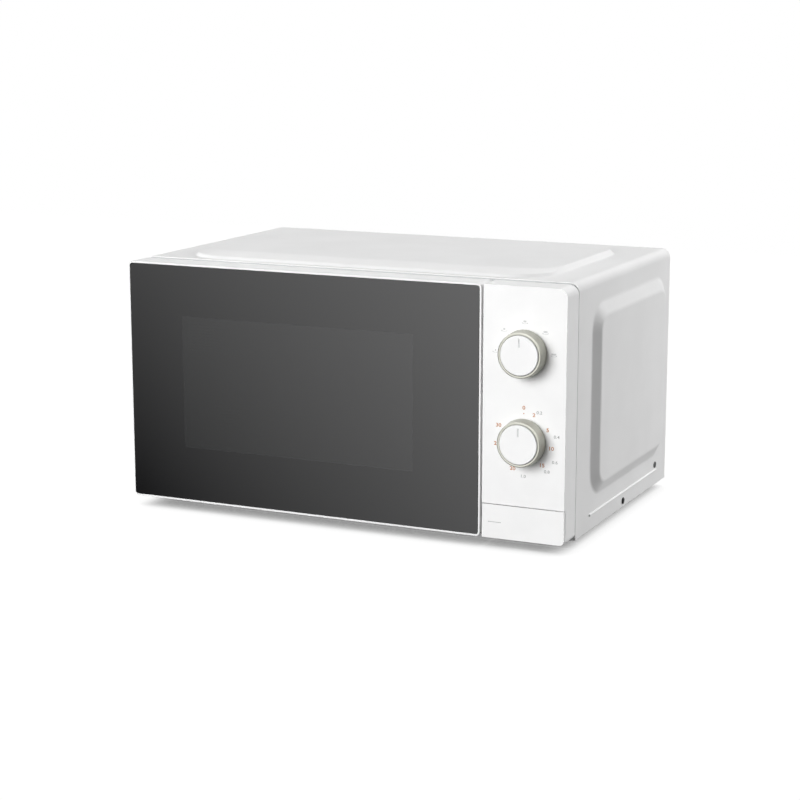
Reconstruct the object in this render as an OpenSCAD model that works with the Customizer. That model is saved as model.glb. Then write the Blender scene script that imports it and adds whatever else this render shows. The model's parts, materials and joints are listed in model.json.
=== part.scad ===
// Countertop microwave oven with two dials, as separate sub-parts.
// X runs across, from left to right seen from the front. Y runs from the
// front to the back. Z is up. The origin is on the surface that the oven
// stands on, under the middle of the whole object.

/* [Oven cavity] */
// Width of the space that takes the food
cavity_w = 315; // [280:1:400]
// Height of the cavity
cavity_h = 190; // [170:1:240]
// Depth of the cavity
cavity_d = 258; // [240:1:330]
// Corner radius of the cavity
cavity_corner = 8; // [4:1:16]
// Height of the cavity floor above the underside of the cabinet
cavity_lift = 27; // [26:1:40]
// Radius of the hole in the floor for the turntable drive
drive_hole_r = 9; // [8:0.5:12]

/* [Cabinet] */
// Thickness of every steel sheet
sheet = 0.8; // [0.6:0.1:1]
// Space between the cavity and the left side of the cabinet
side_gap = 24; // [18:1:40]
// Width of the machine bay on the right of the cavity
bay_w = 116; // [116:1:150]
// Space between the cavity and the top of the cabinet
roof_gap = 22.5; // [20:0.5:40]
// Space between the cavity and the back of the cabinet
back_gap = 13.5; // [10:0.5:30]
// Bend radius between the top and the sides
cabinet_bend = 9; // [6:1:16]
// Width of the flanges turned in at the bottom and at the back
flange = 12; // [10:1:16]
// Height of the feet
foot_h = 8; // [6:1:15]
// Radius of a foot
foot_r = 9; // [6:1:14]
// How far the feet are set in from the cabinet's outline
foot_inset = 40; // [30:1:60]
// How far the wall spacer stands out at the back
spacer_d = 12; // [8:1:25]
// Radius of the screw holes in the sheets
screw_r = 2; // [1.5:0.25:2.5]

/* [Embossing] */
// Height of the raised field on the top
top_rise = 5; // [3.5:0.5:8]
// Height of its steep first step
top_step = 3; // [1:0.5:3]
// Margin of the raised field at the sides and the back
top_margin = 36; // [25:1:60]
// Margin of the raised field at the front
top_front = 5.5; // [4:0.5:15]
// Length of its gentle slope at the front
top_slope = 27.5; // [10:0.5:40]
// Corner radius of the raised field
top_corner = 42; // [20:1:50]
// Height of the raised field on each side
side_rise = 6; // [3:0.5:8]
// Width of the slope around it
side_slope = 12; // [6:0.5:16]
// Its margin at the front
side_front = 36.5; // [20:0.5:50]
// Its margin at the back
side_back = 17; // [12:0.5:30]
// Its margin at the bottom
side_low = 32; // [25:0.5:45]
// Its margin at the top
side_high = 25; // [18:0.5:40]
// Its corner radius
side_corner = 27; // [18:1:32]
// Radius of the bead pressed along the foot of each side
bead_r = 1.5; // [1:0.25:2.5]
// Height of the bead above the underside of the cabinet
bead_z = 15.5; // [13:0.5:18]
// Its margin at the back
bead_back = 32; // [17:1:60]

/* [Door] */
// Thickness of the door and of the control panel
door_t = 29.3; // [27:0.1:36]
// Gap between the door and the cabinet
front_gap = 1.2; // [1:0.1:2]
// Height of the door's lower edge above the underside of the cabinet
front_lift = 2.5; // [1:0.5:6]
// Height of the cabinet's top above the door's upper edge
front_drop = 1.5; // [1:0.5:4]
// How far the door reaches past the right side of the cavity
door_overlap = 33.4; // [30:0.2:35]
// Corner radius of the door frame
door_corner = 4; // [2.5:0.5:8]
// Thickness of the front glass
glass_t = 3.2; // [3:0.1:4]
// Width of the frame's rim beside the glass
rim = 1.7; // [1:0.1:3]
// Wall thickness of the moulded plastic pieces
plastic = 2.5; // [2:0.1:3]
// Distance from the cavity's sides to the window in the door
window_side = 34.5; // [30:0.5:60]
// Distance from the cavity's floor and ceiling to the window
window_end = 30; // [26:0.5:60]
// Depth of the pressed steel choke
choke_d = 11; // [8:0.5:12]
// Width of the choke channel
choke_w = 24; // [18:1:28]
// Thickness of the window film on the cavity side
film_t = 0.8; // [0.5:0.1:1.5]
// Radius of the hinge pins
pin_r = 2.5; // [2:0.1:3]
// Length of a hinge pin on each side of its bracket
pin_l = 8; // [6:1:10]
// Distance from the pin's axis to the left side of the door
pin_x = 6.5; // [6:0.1:8]
// Distance from the pin's axis to the back of the door
pin_y = 7; // [6.5:0.1:9]
// Thickness of a hinge bracket
bracket_t = 2.5; // [2:0.1:3]
// Distance from a hinge bracket to the end of the door
hinge_inset = 21; // [18:1:30]

/* [Latch] */
// Height of the lower hook above the door's lower edge
hook_low = 70; // [60:1:80]
// Distance between the hooks
hook_pitch = 110; // [90:1:120]
// Width of a hook
hook_w = 4; // [3:0.5:5]
// Height of a hook's arm
hook_h = 8; // [6:1:10]
// How high the hook's nose rises above its arm
hook_nose = 2.5; // [2:0.5:3]
// How far the hooks reach behind the door
hook_reach = 20.7; // [18:0.1:24]
// Travel of the hooks
hook_travel = 3; // [2.5:0.5:4]
// Width, depth and height of a micro switch
switch_size = [13, 15, 9.4]; // [9:0.1:20]

/* [Control panel] */
// Gap between the door and the control panel
panel_gap = 2.1; // [1.5:0.1:3]
// Corner radius of the panel's free edges
panel_corner = 9; // [5:0.5:12]
// Height of the open button
button_h = 31.9; // [25:0.1:40]
// Thickness of the open button's plate
button_t = 3.2; // [2.5:0.1:4]
// Gap around the open button
button_gap = 0.8; // [0.6:0.1:1.2]
// Height of the timer dial's axis above the panel's lower edge
timer_z = 93.3; // [80:0.1:100]
// Distance between the axes of the dials
dial_pitch = 81.6; // [70:0.1:95]
// How far the dials stand out of the panel
knob_proud = 14; // [10:0.5:25]
// Radius of a dial's white face
cap_r = 18.3; // [14:0.1:19]
// How far the foot of a dial stands out around its face
skirt_out = 3.7; // [2.5:0.1:5]
// Radius of a dial shaft
shaft_r = 3; // [2.5:0.1:4]

/* [Turntable] */
// Gap between the glass tray and the cavity's walls
tray_gap = 6.5; // [5:0.5:15]
// Thickness of the glass tray
tray_t = 4; // [3:0.5:6]
// Height of the tray's rim above its underside
tray_rim = 14; // [10:1:20]
// Radius of a roller
roller_r = 7; // [6:0.5:9]
// Width of a roller
roller_w = 5; // [4:0.5:8]
// Radius of the circle that the rollers run on
track_r = 84; // [70:1:95]
// Radius of a roller's axle
axle_r = 1.6; // [1.2:0.1:2]
// Radius of the turntable motor
motor_r = 24.5; // [20:0.5:28]
// Height of the turntable motor
motor_h = 14; // [12:1:16]
// Radius of its output shaft
drive_r = 3.5; // [3:0.25:4.5]

/* [Machine bay] */
// Width, depth and height of the magnetron's body
magnetron_size = [60, 80, 66]; // [40:1:90]
// Radius of the magnetron's antenna
antenna_r = 8; // [7:0.5:10]
// Length of the antenna inside the waveguide
antenna_l = 22; // [18:1:26]
// Width, depth and height of the waveguide
waveguide_size = [28, 96, 84]; // [26:1:110]
// Height of the magnetron's axis above the cavity floor
magnetron_z = 140; // [130:1:150]
// Depth of the magnetron's axis behind the front of the cavity
magnetron_y = 165; // [150:1:170]
// Width, depth and height of the transformer's core
core_size = [84, 60, 70]; // [50:1:90]
// Depth of the transformer's axis behind the front of the cavity
core_y = 92; // [85:1:100]
// Radius of the fan
fan_r = 42; // [35:1:44]
// Width and height of the air duct around the fan
duct_w = 94; // [92:1:100]
// Depth of the air duct
duct_d = 22; // [18:1:26]
// Height of the fan's axis above the cavity floor
fan_z = 140; // [120:1:145]
// Radius and length of the high-voltage capacitor's round ends
capacitor_r = 16; // [14:0.5:20]
// Length of the capacitor
capacitor_l = 92; // [70:1:100]

/* [Fits] */
// Clearance between sheets and mouldings that nest
fit = 0.1; // [0.05:0.05:0.3]
// Radial clearance of every shaft and pin in its bore
running = 0.05; // [0.02:0.01:0.1]
// Clearance between pieces that pass each other
pass = 0.5; // [0.3:0.1:1]

/* [Hidden] */
$fn = 64;
hull_fn = 32;       // segments of a circle inside a hull
over = 1;           // how far a cut runs past what it cuts

// Overall sizes
cabinet_w = side_gap + cavity_w + bay_w;
cabinet_h = cavity_lift + cavity_h + roof_gap;
cabinet_d = cavity_d + back_gap;
total_d = knob_proud + door_t + front_gap + cabinet_d + spacer_d;
front_h = cabinet_h - front_lift - front_drop;

// Places across
left_x = -cabinet_w / 2;
right_x = cabinet_w / 2;
cavity_x0 = left_x + side_gap;
cavity_x1 = cavity_x0 + cavity_w;
cavity_cx = (cavity_x0 + cavity_x1) / 2;
bay_x0 = cavity_x1 + sheet;
door_x1 = cavity_x1 + door_overlap;
door_w = door_x1 - left_x;
panel_x0 = door_x1 + panel_gap;
panel_w = right_x - panel_x0;
panel_cx = (panel_x0 + right_x) / 2;

// Places from front to back
front_y = knob_proud - total_d / 2;
door_back = front_y + door_t;
cabinet_y0 = door_back + front_gap;
cabinet_y1 = cabinet_y0 + cabinet_d;
cavity_y0 = cabinet_y0 + sheet;
cavity_y1 = cavity_y0 + cavity_d;
cavity_cy = (cavity_y0 + cavity_y1) / 2;
rear_y = cabinet_y1 - 2 * sheet - fit;

// Places in height
cabinet_z0 = foot_h;
cabinet_z1 = cabinet_z0 + cabinet_h;
base_z = cabinet_z0 + sheet + fit;
deck_z = base_z + sheet;
front_z0 = cabinet_z0 + front_lift;
front_z1 = front_z0 + front_h;
cavity_z0 = cabinet_z0 + cavity_lift;
cavity_z1 = cavity_z0 + cavity_h;
roof_z = cavity_z1 + sheet;
dial_z = [front_z0 + timer_z, front_z0 + timer_z + dial_pitch];

// ---- Helpers ----

// A box between two opposite corners
module block(low, high) {
    translate(low) cube(high - low);
}

// A rectangle with round corners, from the origin to [w, h]
module rounded(w, h, r) {
    translate([r, 0]) square([w - 2 * r, h]);
    translate([0, r]) square([w, h - 2 * r]);
    for (x = [r, w - r], y = [r, h - r]) translate([x, y]) circle(r);
}

// An outline in X and Z, made solid from y to y + t
module upright(y, t) {
    translate([0, y + t, 0]) rotate([90, 0, 0]) linear_extrude(t) children();
}

// An outline in Y and Z, made solid from x to x + t
module sideways(x, t) {
    translate([x, 0, 0]) rotate([90, 0, 90]) linear_extrude(t) children();
}

// Round bars along each axis; at is the middle of the bar's first end
module rod_x(r, l, at) {
    translate(at) rotate([0, 90, 0]) cylinder(r = r, h = l);
}

module rod_y(r, l, at) {
    translate(at) rotate([-90, 0, 0]) cylinder(r = r, h = l);
}

module rod_z(r, l, at) {
    translate(at) cylinder(r = r, h = l);
}

// The cabinet's cross-section: flat bottom, bent upper corners
module wrap(w, h, r) {
    translate([-w / 2, 0]) square([w, h - r]);
    translate([r - w / 2, 0]) square([w - 2 * r, h]);
    for (side = [-1, 1]) translate([side * (w / 2 - r), h - r]) circle(r);
}

// The cross-section of what stands inside the cabinet, from height z up
module inner_wrap(z) {
    inset = sheet + fit;
    intersection() {
        translate([0, cabinet_z0]) wrap(cabinet_w - 2 * inset, cabinet_h - inset, cabinet_bend - inset);
        translate([-cabinet_w, z]) square([2 * cabinet_w, cabinet_h]);
    }
}

// Rows of slots in an outline, centred on the origin
module slots(columns, rows, w, h, pitch_x, pitch_y) {
    for (i = [0 : columns - 1], j = [0 : rows - 1])
        translate([(i - (columns - 1) / 2) * pitch_x - w / 2, (j - (rows - 1) / 2) * pitch_y - h / 2])
            square([w, h]);
}

// A coil of wire along Z from the origin, with closed ends
coil_steps = 14;    // rings of the coil's surface in each turn
coil_sides = 8;     // sides of the wire
function coil_at(r, pitch, t) = [r * cos(t), r * sin(t), pitch * t / 360];
function coil_point(r, wire, pitch, t, a) =
    coil_at(r, pitch, t) + [wire * cos(a) * cos(t), wire * cos(a) * sin(t), wire * sin(a)];
module coil(r, wire, l, turns) {
    pitch = (l - 2 * wire) / turns;
    rings = turns * coil_steps;
    points = [for (i = [0 : rings], k = [0 : coil_sides - 1])
        coil_point(r, wire, pitch, i * 360 / coil_steps, k * 360 / coil_sides)];
    walls = [for (i = [0 : rings - 1], k = [0 : coil_sides - 1])
        let (n = (k + 1) % coil_sides, a = i * coil_sides)
            [a + k, a + coil_sides + k, a + coil_sides + n, a + n]];
    first = [for (k = [0 : coil_sides - 1]) k];
    last = [for (k = [coil_sides - 1 : -1 : 0]) rings * coil_sides + k];
    translate([0, 0, wire]) polyhedron(points, concat([first], [last], walls), convexity = 8);
}

// ---- Cabinet ----

// One level of the raised field on the top
module top_level(inset, front, z) {
    x = cabinet_w / 2 - top_margin - inset;
    y0 = cabinet_y0 + front;
    y1 = cabinet_y1 - top_margin - inset;
    translate([-x, y0, z]) linear_extrude(0.1) rounded(2 * x, y1 - y0, top_corner - inset, $fn = hull_fn);
}

// The raised field on the top: a steep step, then a gentle slope at the front
module top_field(drop) {
    z = cabinet_z1 - drop;
    translate([0, 0, -0.1]) hull() {
        top_level(0, top_front, z);
        top_level(top_step, top_front + top_step, z + top_step);
        top_level(top_rise, top_front + top_step + top_slope, z + top_rise);
    }
}

// The raised field on the right side
module side_field(drop) {
    y0 = cabinet_y0 + side_front;
    z0 = cabinet_z0 + side_low;
    w = cabinet_d - side_front - side_back;
    h = cabinet_h - side_low - side_high;
    x = cabinet_w / 2 - drop;
    hull() {
        sideways(x - 0.1, 0.1) translate([y0, z0]) rounded(w, h, side_corner, $fn = hull_fn);
        sideways(x + side_rise - 0.1, 0.1) translate([y0 + side_slope, z0 + side_slope])
            rounded(w - 2 * side_slope, h - 2 * side_slope, side_corner - side_slope, $fn = hull_fn);
    }
}

// Heights of the screws in the cabinet's back flange
back_screw_z = [cabinet_z0 + cabinet_h * 0.25, cabinet_z0 + cabinet_h * 0.75];
// Depth and height of the screws in each side: one below the bead, one above its back end
side_screws = [[cabinet_y0 + cabinet_d / 2, cabinet_z0 + flange / 2 + sheet],
    [cabinet_y1 - 3 * flange, cabinet_z0 + bead_z + 3 * screw_r]];

module outer_cabinet() {
    bead_l = cabinet_d - side_front - bead_back;
    color("white") difference() {
        union() {
            upright(cabinet_y0, cabinet_d) translate([0, cabinet_z0])
                wrap(cabinet_w, cabinet_h, cabinet_bend);
            top_field(0);
            for (side = [0, 1]) mirror([side, 0, 0]) {
                side_field(0);
                rod_y(bead_r, bead_l, [right_x - bead_r / 2, cabinet_y0 + side_front, cabinet_z0 + bead_z]);
            }
        }
        upright(cabinet_y0 - over, cabinet_d - sheet + over) translate([0, cabinet_z0 + sheet])
            wrap(cabinet_w - 2 * sheet, cabinet_h - 2 * sheet, cabinet_bend - sheet);
        top_field(sheet);
        for (side = [0, 1]) mirror([side, 0, 0]) side_field(sheet);
        block([left_x + flange, cabinet_y0 - over, cabinet_z0 - over],
            [right_x - flange, cabinet_y1 - flange, cabinet_z0 + 2 * sheet]);
        upright(cabinet_y1 - 2 * sheet, 3 * sheet) translate([left_x + flange, cabinet_z0 + flange])
            rounded(cabinet_w - 2 * flange, cabinet_h - 2 * flange, cabinet_bend);
        for (side = [-1, 1], z = back_screw_z)
            rod_y(screw_r, 4 * sheet, [side * (right_x - flange / 2), cabinet_y1 - 2 * sheet, z]);
        for (p = side_screws)
            rod_x(screw_r, cabinet_w + 2 * over, [left_x - over, p[0], p[1]]);
    }
}

module base_plate() {
    half = cabinet_w / 2 - sheet - fit;
    y0 = cavity_y0 + fit;
    lip = flange - 2 * sheet;
    tab = side_screws[1];   // the back screw bites a tab that stands up from the lip
    color("silver") difference() {
        union() {
            block([-half, y0, base_z], [half, rear_y - fit, deck_z]);
            for (side = [0, 1]) mirror([side, 0, 0]) {
                block([half - sheet, y0, base_z], [half, rear_y - fit, base_z + lip]);
                block([half - sheet, tab[0] - flange / 2, base_z],
                    [half, tab[0] + flange / 2, tab[1] + flange / 2]);
            }
        }
        for (p = foot_points) rod_z(foot_plug_r, 4 * sheet, [p[0], p[1], base_z - over]);
        translate([bay_x0 + bay_w / 2, cavity_y0 + core_y, base_z - over]) linear_extrude(4 * sheet)
            slots(5, 6, 12, 3, 17, 8);
        translate([cavity_cx, cavity_cy, base_z - over]) linear_extrude(4 * sheet) slots(2, 5, 22, 3, 26, 8);
        for (p = side_screws)
            rod_x(screw_r, cabinet_w, [left_x, p[0], p[1]]);
    }
}

vent_w = 4;         // width of a slot in the rear plate
vent_h = 22;        // height of a slot in the rear plate
bushing_r = 8;      // radius of the cord hole
bushing_x = right_x - 3 * flange;
bushing_z = cabinet_z0 + 3 * flange;

module rear_plate() {
    color("silver") difference() {
        upright(rear_y, sheet) inner_wrap(deck_z + fit);
        upright(rear_y - over, 4 * sheet) {
            translate([fan_x, fan_axis_z]) slots(9, 3, vent_w, vent_h, 2 * vent_w, 1.25 * vent_h);
            translate([cavity_x0 + 3 * vent_h, cavity_z1 - vent_h])
                slots(8, 2, vent_w, vent_h, 2 * vent_w, 1.25 * vent_h);
            translate([fan_x, deck_z + 2 * vent_h]) slots(5, 1, vent_w, vent_h, 2 * vent_w, vent_h);
        }
        rod_y(bushing_r, 4 * sheet, [bushing_x, rear_y - over, bushing_z]);
        for (side = [-1, 1], z = back_screw_z)
            rod_y(screw_r, 4 * sheet, [side * (right_x - flange / 2), rear_y - over, z]);
        for (side = [-1, 1])
            rod_y(screw_r, 4 * sheet, [cavity_cx + side * spacer_w / 4, rear_y - over, spacer_z]);
    }
}

foot_plug_r = 2.5;  // radius of the plug that holds a foot in the base plate
foot_points = [for (x = [left_x + foot_inset, right_x - foot_inset],
    y = [cabinet_y0 + foot_inset, cabinet_y1 - foot_inset]) [x, y]];

module feet() {
    color("dimgray") for (p = foot_points) translate([p[0], p[1], 0]) {
        cylinder(r1 = foot_r - 1.5, r2 = foot_r, h = base_z);
        cylinder(r = foot_plug_r - fit, h = deck_z + 1);
    }
}

spacer_w = 90;      // width of the wall spacer
spacer_h = 16;      // height of its two blades
spacer_z = cavity_z1 - 3 * vent_h;

module rear_spacer() {
    y0 = rear_y + sheet;
    color("white") {
        block([cavity_cx - spacer_w / 2, y0, spacer_z - spacer_h / 2],
            [cavity_cx + spacer_w / 2, y0 + plastic, spacer_z + spacer_h / 2]);
        for (side = [-1, 0, 1]) translate([cavity_cx + side * spacer_w / 2.3, 0, 0])
            block([-plastic / 2, y0, spacer_z - spacer_h / 2],
                [plastic / 2, cabinet_y1 + spacer_d, spacer_z + spacer_h / 2]);
    }
}

module screw_y(at, direction) {
    translate(at) rotate([direction * 90, 0, 0]) {
        cylinder(r = screw_r - fit, h = 7);
        translate([0, 0, -2]) cylinder(r = 1.9 * screw_r, h = 2);
    }
}

module cabinet_screws() {
    color("gray") {
        for (side = [-1, 1], z = back_screw_z)
            screw_y([side * (right_x - flange / 2), cabinet_y1, z], 1);
        for (side = [0, 1], p = side_screws) mirror([side, 0, 0])
            translate([right_x, p[0], p[1]]) rotate([0, -90, 0]) {
                cylinder(r = screw_r - fit, h = 7);
                translate([0, 0, -0.8]) cylinder(r = 1.6 * screw_r, h = 0.8);
            }
    }
}

// ---- Oven cavity and the frame in front of it ----

lamp_y = cavity_y0 + 62;
lamp_z = cavity_z1 - 30;
axis_y = cavity_y0 + magnetron_y;
axis_z = cavity_z0 + magnetron_z;
port_d = 60;        // depth of the waveguide's mouth in the cavity wall
port_h = 50;        // height of that mouth
grid_r = 1.6;       // radius of the air and lamp holes
grid_pitch = 6;     // distance between them
grid_pass = 2;      // how far the lamp's grid reaches each way, in holes

module oven_cavity() {
    w = cavity_w + 2 * sheet;
    h = cavity_h + 2 * sheet;
    color("gainsboro") difference() {
        upright(cavity_y0, cavity_d + sheet) translate([cavity_x0 - sheet, cavity_z0 - sheet])
            rounded(w, h, cavity_corner + sheet);
        upright(cavity_y0 - over, cavity_d + over) translate([cavity_x0, cavity_z0])
            rounded(cavity_w, cavity_h, cavity_corner);
        rod_z(drive_hole_r, 4 * sheet, [cavity_cx, cavity_cy, cavity_z0 - 2 * sheet]);
        block([cavity_x1 - over, axis_y - port_d / 2, axis_z - port_h / 2],
            [cavity_x1 + 2 * sheet, axis_y + port_d / 2, axis_z + port_h / 2]);
        for (i = [-grid_pass : grid_pass], j = [-grid_pass : grid_pass])
            rod_x(grid_r, 4 * sheet, [cavity_x1 - sheet, lamp_y + i * grid_pitch, lamp_z + j * grid_pitch]);
        for (i = [-4 : 4], j = [-1 : 1])
            rod_x(grid_r, 4 * sheet, [cavity_x0 - 2 * sheet, cavity_y1 - 50 + i * grid_pitch,
                lamp_z + j * grid_pitch]);
    }
}

// Middle of the hooks, across and in height
hook_x = door_x1 - plastic - 3 - hook_w - pass;
hook_z = [front_z0 + hook_low, front_z0 + hook_low + hook_pitch];
hook_tip = door_back + hook_reach;
// Heights of the hinge brackets
hinge_z = [front_z0 + hinge_inset, front_z1 - hinge_inset];
pin_at = [left_x + pin_x, door_back - pin_y];
tongue_w = 9;       // width of a hinge bracket's tongue
slot_out = 6;       // room beside a hook for the door's swing

// The gap that a hook comes through, with room for its swing and its travel
module hook_gap(y0, y1, z) {
    block([hook_x - hook_w / 2 - 2 * pass, y0, z - hook_h / 2 - hook_travel - 2 * pass],
        [hook_x + hook_w / 2 + slot_out, y1, z + hook_h / 2 + hook_nose + pass]);
}

module front_frame() {
    color("gainsboro") difference() {
        upright(cabinet_y0, sheet) inner_wrap(cabinet_z0 + sheet + fit);
        upright(cabinet_y0 - over, sheet + 2 * over) {
            translate([cavity_x0, cavity_z0]) rounded(cavity_w, cavity_h, cavity_corner);
            translate([panel_x0 + 2 * plastic, dial_z[0] - control_h])
                rounded(panel_w - 5 * plastic, dial_pitch + 2 * control_h, plastic);
            translate([stem_x - stem_pass, stem_z - stem_h])
                square([stem_w + 2 * stem_pass, 2 * stem_h]);
            for (z = hinge_z) translate([pin_at[0] - tongue_w / 2 - pass, z - bracket_t / 2 - pass])
                square([tongue_w + 2 * pass, bracket_t + 2 * pass]);
        }
        for (z = hook_z) hook_gap(cabinet_y0 - over, cavity_y0 + over, z);
    }
}

// ---- Control panel ----

control_h = 30;     // half height of the space behind each dial
button_top = front_z0 + button_h;
recess_y = front_y + button_t + 5.5;
button_pin = [right_x - 5.5, front_y + button_t + 3.2];
button_pin_r = 1.5; // radius of the button's own pin
clip_t = 3;         // size of the clips that hold the panel on the front frame
clip_z = [button_top + 5 * clip_t, dial_z[0] + dial_pitch / 2, front_z1 - 8 * clip_t];
lug_h = 5;          // height of each lug that carries the button's pin
lug_z = [front_z0 + 9, front_z0 + 19];

// The panel's outline in X and Z: square on the left, round on the right
module panel_outline(inset) {
    w = panel_w - 2 * inset;
    h = front_h - 2 * inset;
    r = panel_corner - inset;
    low_r = r / 2;
    translate([panel_x0 + inset, front_z0 + inset]) {
        translate([0, low_r]) square([w, h - r - low_r]);
        square([w - low_r, h - r]);
        square([w - r, h]);
        translate([w - r, h - r]) circle(r);
        translate([w - low_r, low_r]) circle(low_r);
    }
}

module control_panel() {
    color("white") difference() {
        union() {
            difference() {
                upright(front_y, door_t) panel_outline(0);
                upright(front_y + plastic, door_t) panel_outline(plastic);
                block([panel_x0 - over, front_y - over, front_z0 - over],
                    [right_x + over, front_y + button_t + pass, button_top + button_gap]);
            }
            block([panel_x0 + fit, recess_y, front_z0 + fit],
                [right_x - plastic + fit, recess_y + plastic, button_top + button_gap + plastic]);
            block([panel_x0 + fit, front_y + fit, button_top + button_gap],
                [right_x - plastic + fit, recess_y + fit, button_top + button_gap + plastic]);
            for (z = lug_z) block([button_pin[0] - 2.6, button_pin[1] - 2.2, z],
                [button_pin[0] + 3.2, recess_y + fit, z + lug_h]);
            for (z = dial_z)
                rod_y(control_r + plastic, control_y0 - front_y - plastic + fit,
                    [panel_cx, front_y + plastic - fit, z]);
            for (x = [panel_x0 + plastic - fit, right_x - 2 * plastic], z = clip_z)
                block([x, door_back - 4 * clip_t, z], [x + plastic + fit, cabinet_y0, z + 4 * clip_t]);
        }
        block([panel_x0 - over, front_y - over, front_z0 - over],
            [button_pin[0] - 6, recess_y, button_top + button_gap]);
        rod_z(button_pin_r + running, button_h, [button_pin[0], button_pin[1], front_z0 + 2]);
        for (z = dial_z) rod_y(control_r, 20, [panel_cx, front_y - over, z]);
        block([stem_x - stem_pass, recess_y - over, stem_z - stem_h],
            [stem_x + stem_w + stem_pass, recess_y + 2 * plastic, stem_z + stem_h]);
    }
}

stem_w = 6;         // width of the button's stem
stem_h = 8;         // height of its opening each way
stem_x = panel_x0 + 2 * plastic;
stem_z = front_z0 + 16;
stem_pass = 2.6;    // room beside the stem for the button's swing
lever_y = cavity_y0 + 4;
button_x0 = panel_x0 + 0.2;

module open_button() {
    color("white") difference() {
        union() {
            upright(front_y, button_t) intersection() {
                panel_outline(0.2);
                translate([panel_x0, 0]) square([panel_w, button_top]);
            }
            block([stem_x, front_y + button_t - fit, stem_z - 4],
                [stem_x + stem_w, lever_y - 0.4, stem_z + 4]);
            block([button_pin[0] - 1.5, front_y + button_t - fit, lug_z[0] + lug_h + 0.4],
                [button_pin[0] + 1.5, button_pin[1], lug_z[1] - 0.4]);
            rod_z(button_pin_r, lug_z[1] - lug_z[0] + lug_h, [button_pin[0], button_pin[1], lug_z[0]]);
            rod_y(spring_seat, 1.2, [spring_x, front_y + button_t - fit, spring_z]);
        }
        block([button_x0, front_y - over, front_z0 - over], [button_x0 - 1, recess_y, button_top]);
    }
}

spring_seat = 2.4;  // radius of the stud inside the button's spring
spring_wire = 0.4;  // radius of the springs' wire
spring_x = panel_x0 + 24;
spring_z = front_z0 + 16;

module button_spring() {
    l = recess_y - front_y - button_t - 2 * 0.1;
    color("silver") translate([spring_x, front_y + button_t + 0.1, spring_z]) rotate([-90, 0, 0])
        coil(spring_seat + spring_wire + 0.3, spring_wire, l, 4);
}

lever_t = 6;        // width of the opener lever
lever_arm = 4;      // thickness of its arms
lever_pin = [lever_y + 38, stem_z + 38];
lever_pin_r = 2;    // radius of the pin that the lever turns on
finger_gap = 0.8;   // gap between the lever's finger and the lower hook
finger_y = hook_tip - 5.5;
finger_z = hook_z[0] + hook_h / 2 + hook_nose + finger_gap;

// One lever: the button's stem pushes its long arm, and its finger pushes the hooks down
module opener_lever() {
    x = stem_x;
    x1 = stem_x + lever_t;
    color("ivory") difference() {
        union() {
            block([x, lever_y, stem_z - 6], [x1, lever_y + lever_arm, lever_pin[1] + lever_arm]);
            block([x, lever_y, lever_pin[1] - lever_arm], [x1, lever_pin[0], lever_pin[1] + lever_arm]);
            block([x, finger_y, lever_pin[1]], [x1, finger_y + lever_arm, finger_z + lever_arm - 1]);
            block([hook_x - hook_w / 2, finger_y, finger_z],
                [x1, finger_y + lever_arm, finger_z + lever_arm - 1]);
            rod_x(lever_pin_r + 3, lever_t, [x, lever_pin[0], lever_pin[1]]);
        }
        rod_x(lever_pin_r + running, lever_t + 2 * over, [x - over, lever_pin[0], lever_pin[1]]);
    }
}

// ---- Dials and what they turn ----

control_r = 9;      // radius of the collar behind each dial
bush_r = 5;         // radius of a control's bush around its shaft
shaft_in = 12;      // how deep a shaft reaches into its control
skirt_y = front_y - 0.5;
knob_r = cap_r + skirt_out;

// The metal-look skirt of a dial: a tapered ring around the cap
module skirt(z) {
    translate([panel_cx, skirt_y, z]) rotate([90, 0, 0]) rotate_extrude() polygon([
        [cap_r - 4, 0], [knob_r - 1, 0], [knob_r, 1], [knob_r - 0.6, 2.5],
        [cap_r + 1.6, knob_proud - 2.2], [cap_r + 0.8, knob_proud - 1.2],
        [cap_r + fit, knob_proud - 1.2], [cap_r + fit, knob_proud - 4], [cap_r - 4, knob_proud - 4]]);
}

// The white cap of a dial, with its socket for the shaft
module cap(z) {
    y0 = front_y - knob_proud;
    difference() {
        union() {
            translate([panel_cx, y0 + 3, z]) rotate([90, 0, 0]) rotate_extrude() polygon([
                [0, 0], [cap_r, 0], [cap_r, 2.4], [cap_r - 0.6, 3], [0, 3]]);
            rod_y(shaft_r + 2.5, knob_proud - 3 + plastic + 2, [panel_cx, y0 + 2, z]);
        }
        rod_y(shaft_r, knob_proud + 20, [panel_cx, y0 + 4, z]);
        block([panel_cx - 0.7, y0 - over, z + cap_r - 11], [panel_cx + 0.7, y0 + 0.4, z + cap_r - 3]);
    }
}

module shaft(z) {
    color("silver") rod_y(shaft_r, control_y0 + shaft_in - front_y + knob_proud - 4,
        [panel_cx, front_y - knob_proud + 4, z]);
}

control_y0 = front_y + plastic + 6;

module timer_skirt() { color("tan") skirt(dial_z[0]); }
module power_skirt() { color("tan") skirt(dial_z[1]); }
module timer_cap() { color("white") cap(dial_z[0]); }
module power_cap() { color("white") cap(dial_z[1]); }
module timer_shaft() { shaft(dial_z[0]); }
module power_shaft() { shaft(dial_z[1]); }

// A control with a box, a bush and terminals behind it
module control_box(size, z, terminals) {
    x0 = panel_cx - size[0] / 2;
    y1 = control_y0 + size[1];
    difference() {
        union() {
            block([x0, control_y0, z - size[2] / 2], [x0 + size[0], y1, z + size[2] / 2]);
            rod_y(bush_r, 5, [panel_cx, control_y0 - 3, z]);
        }
        rod_y(shaft_r + running, shaft_in + 4.5, [panel_cx, control_y0 - 4, z]);
    }
    for (i = [0 : terminals - 1]) block([x0 + 6 + i * 10, y1 - fit, z - 12],
        [x0 + 6.8 + i * 10, y1 + 8, z - 6]);
}

timer_size = [50, 34, 48];      // width, depth and height of the timer
selector_size = [46, 24, 40];   // width, depth and height of the power selector

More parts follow.
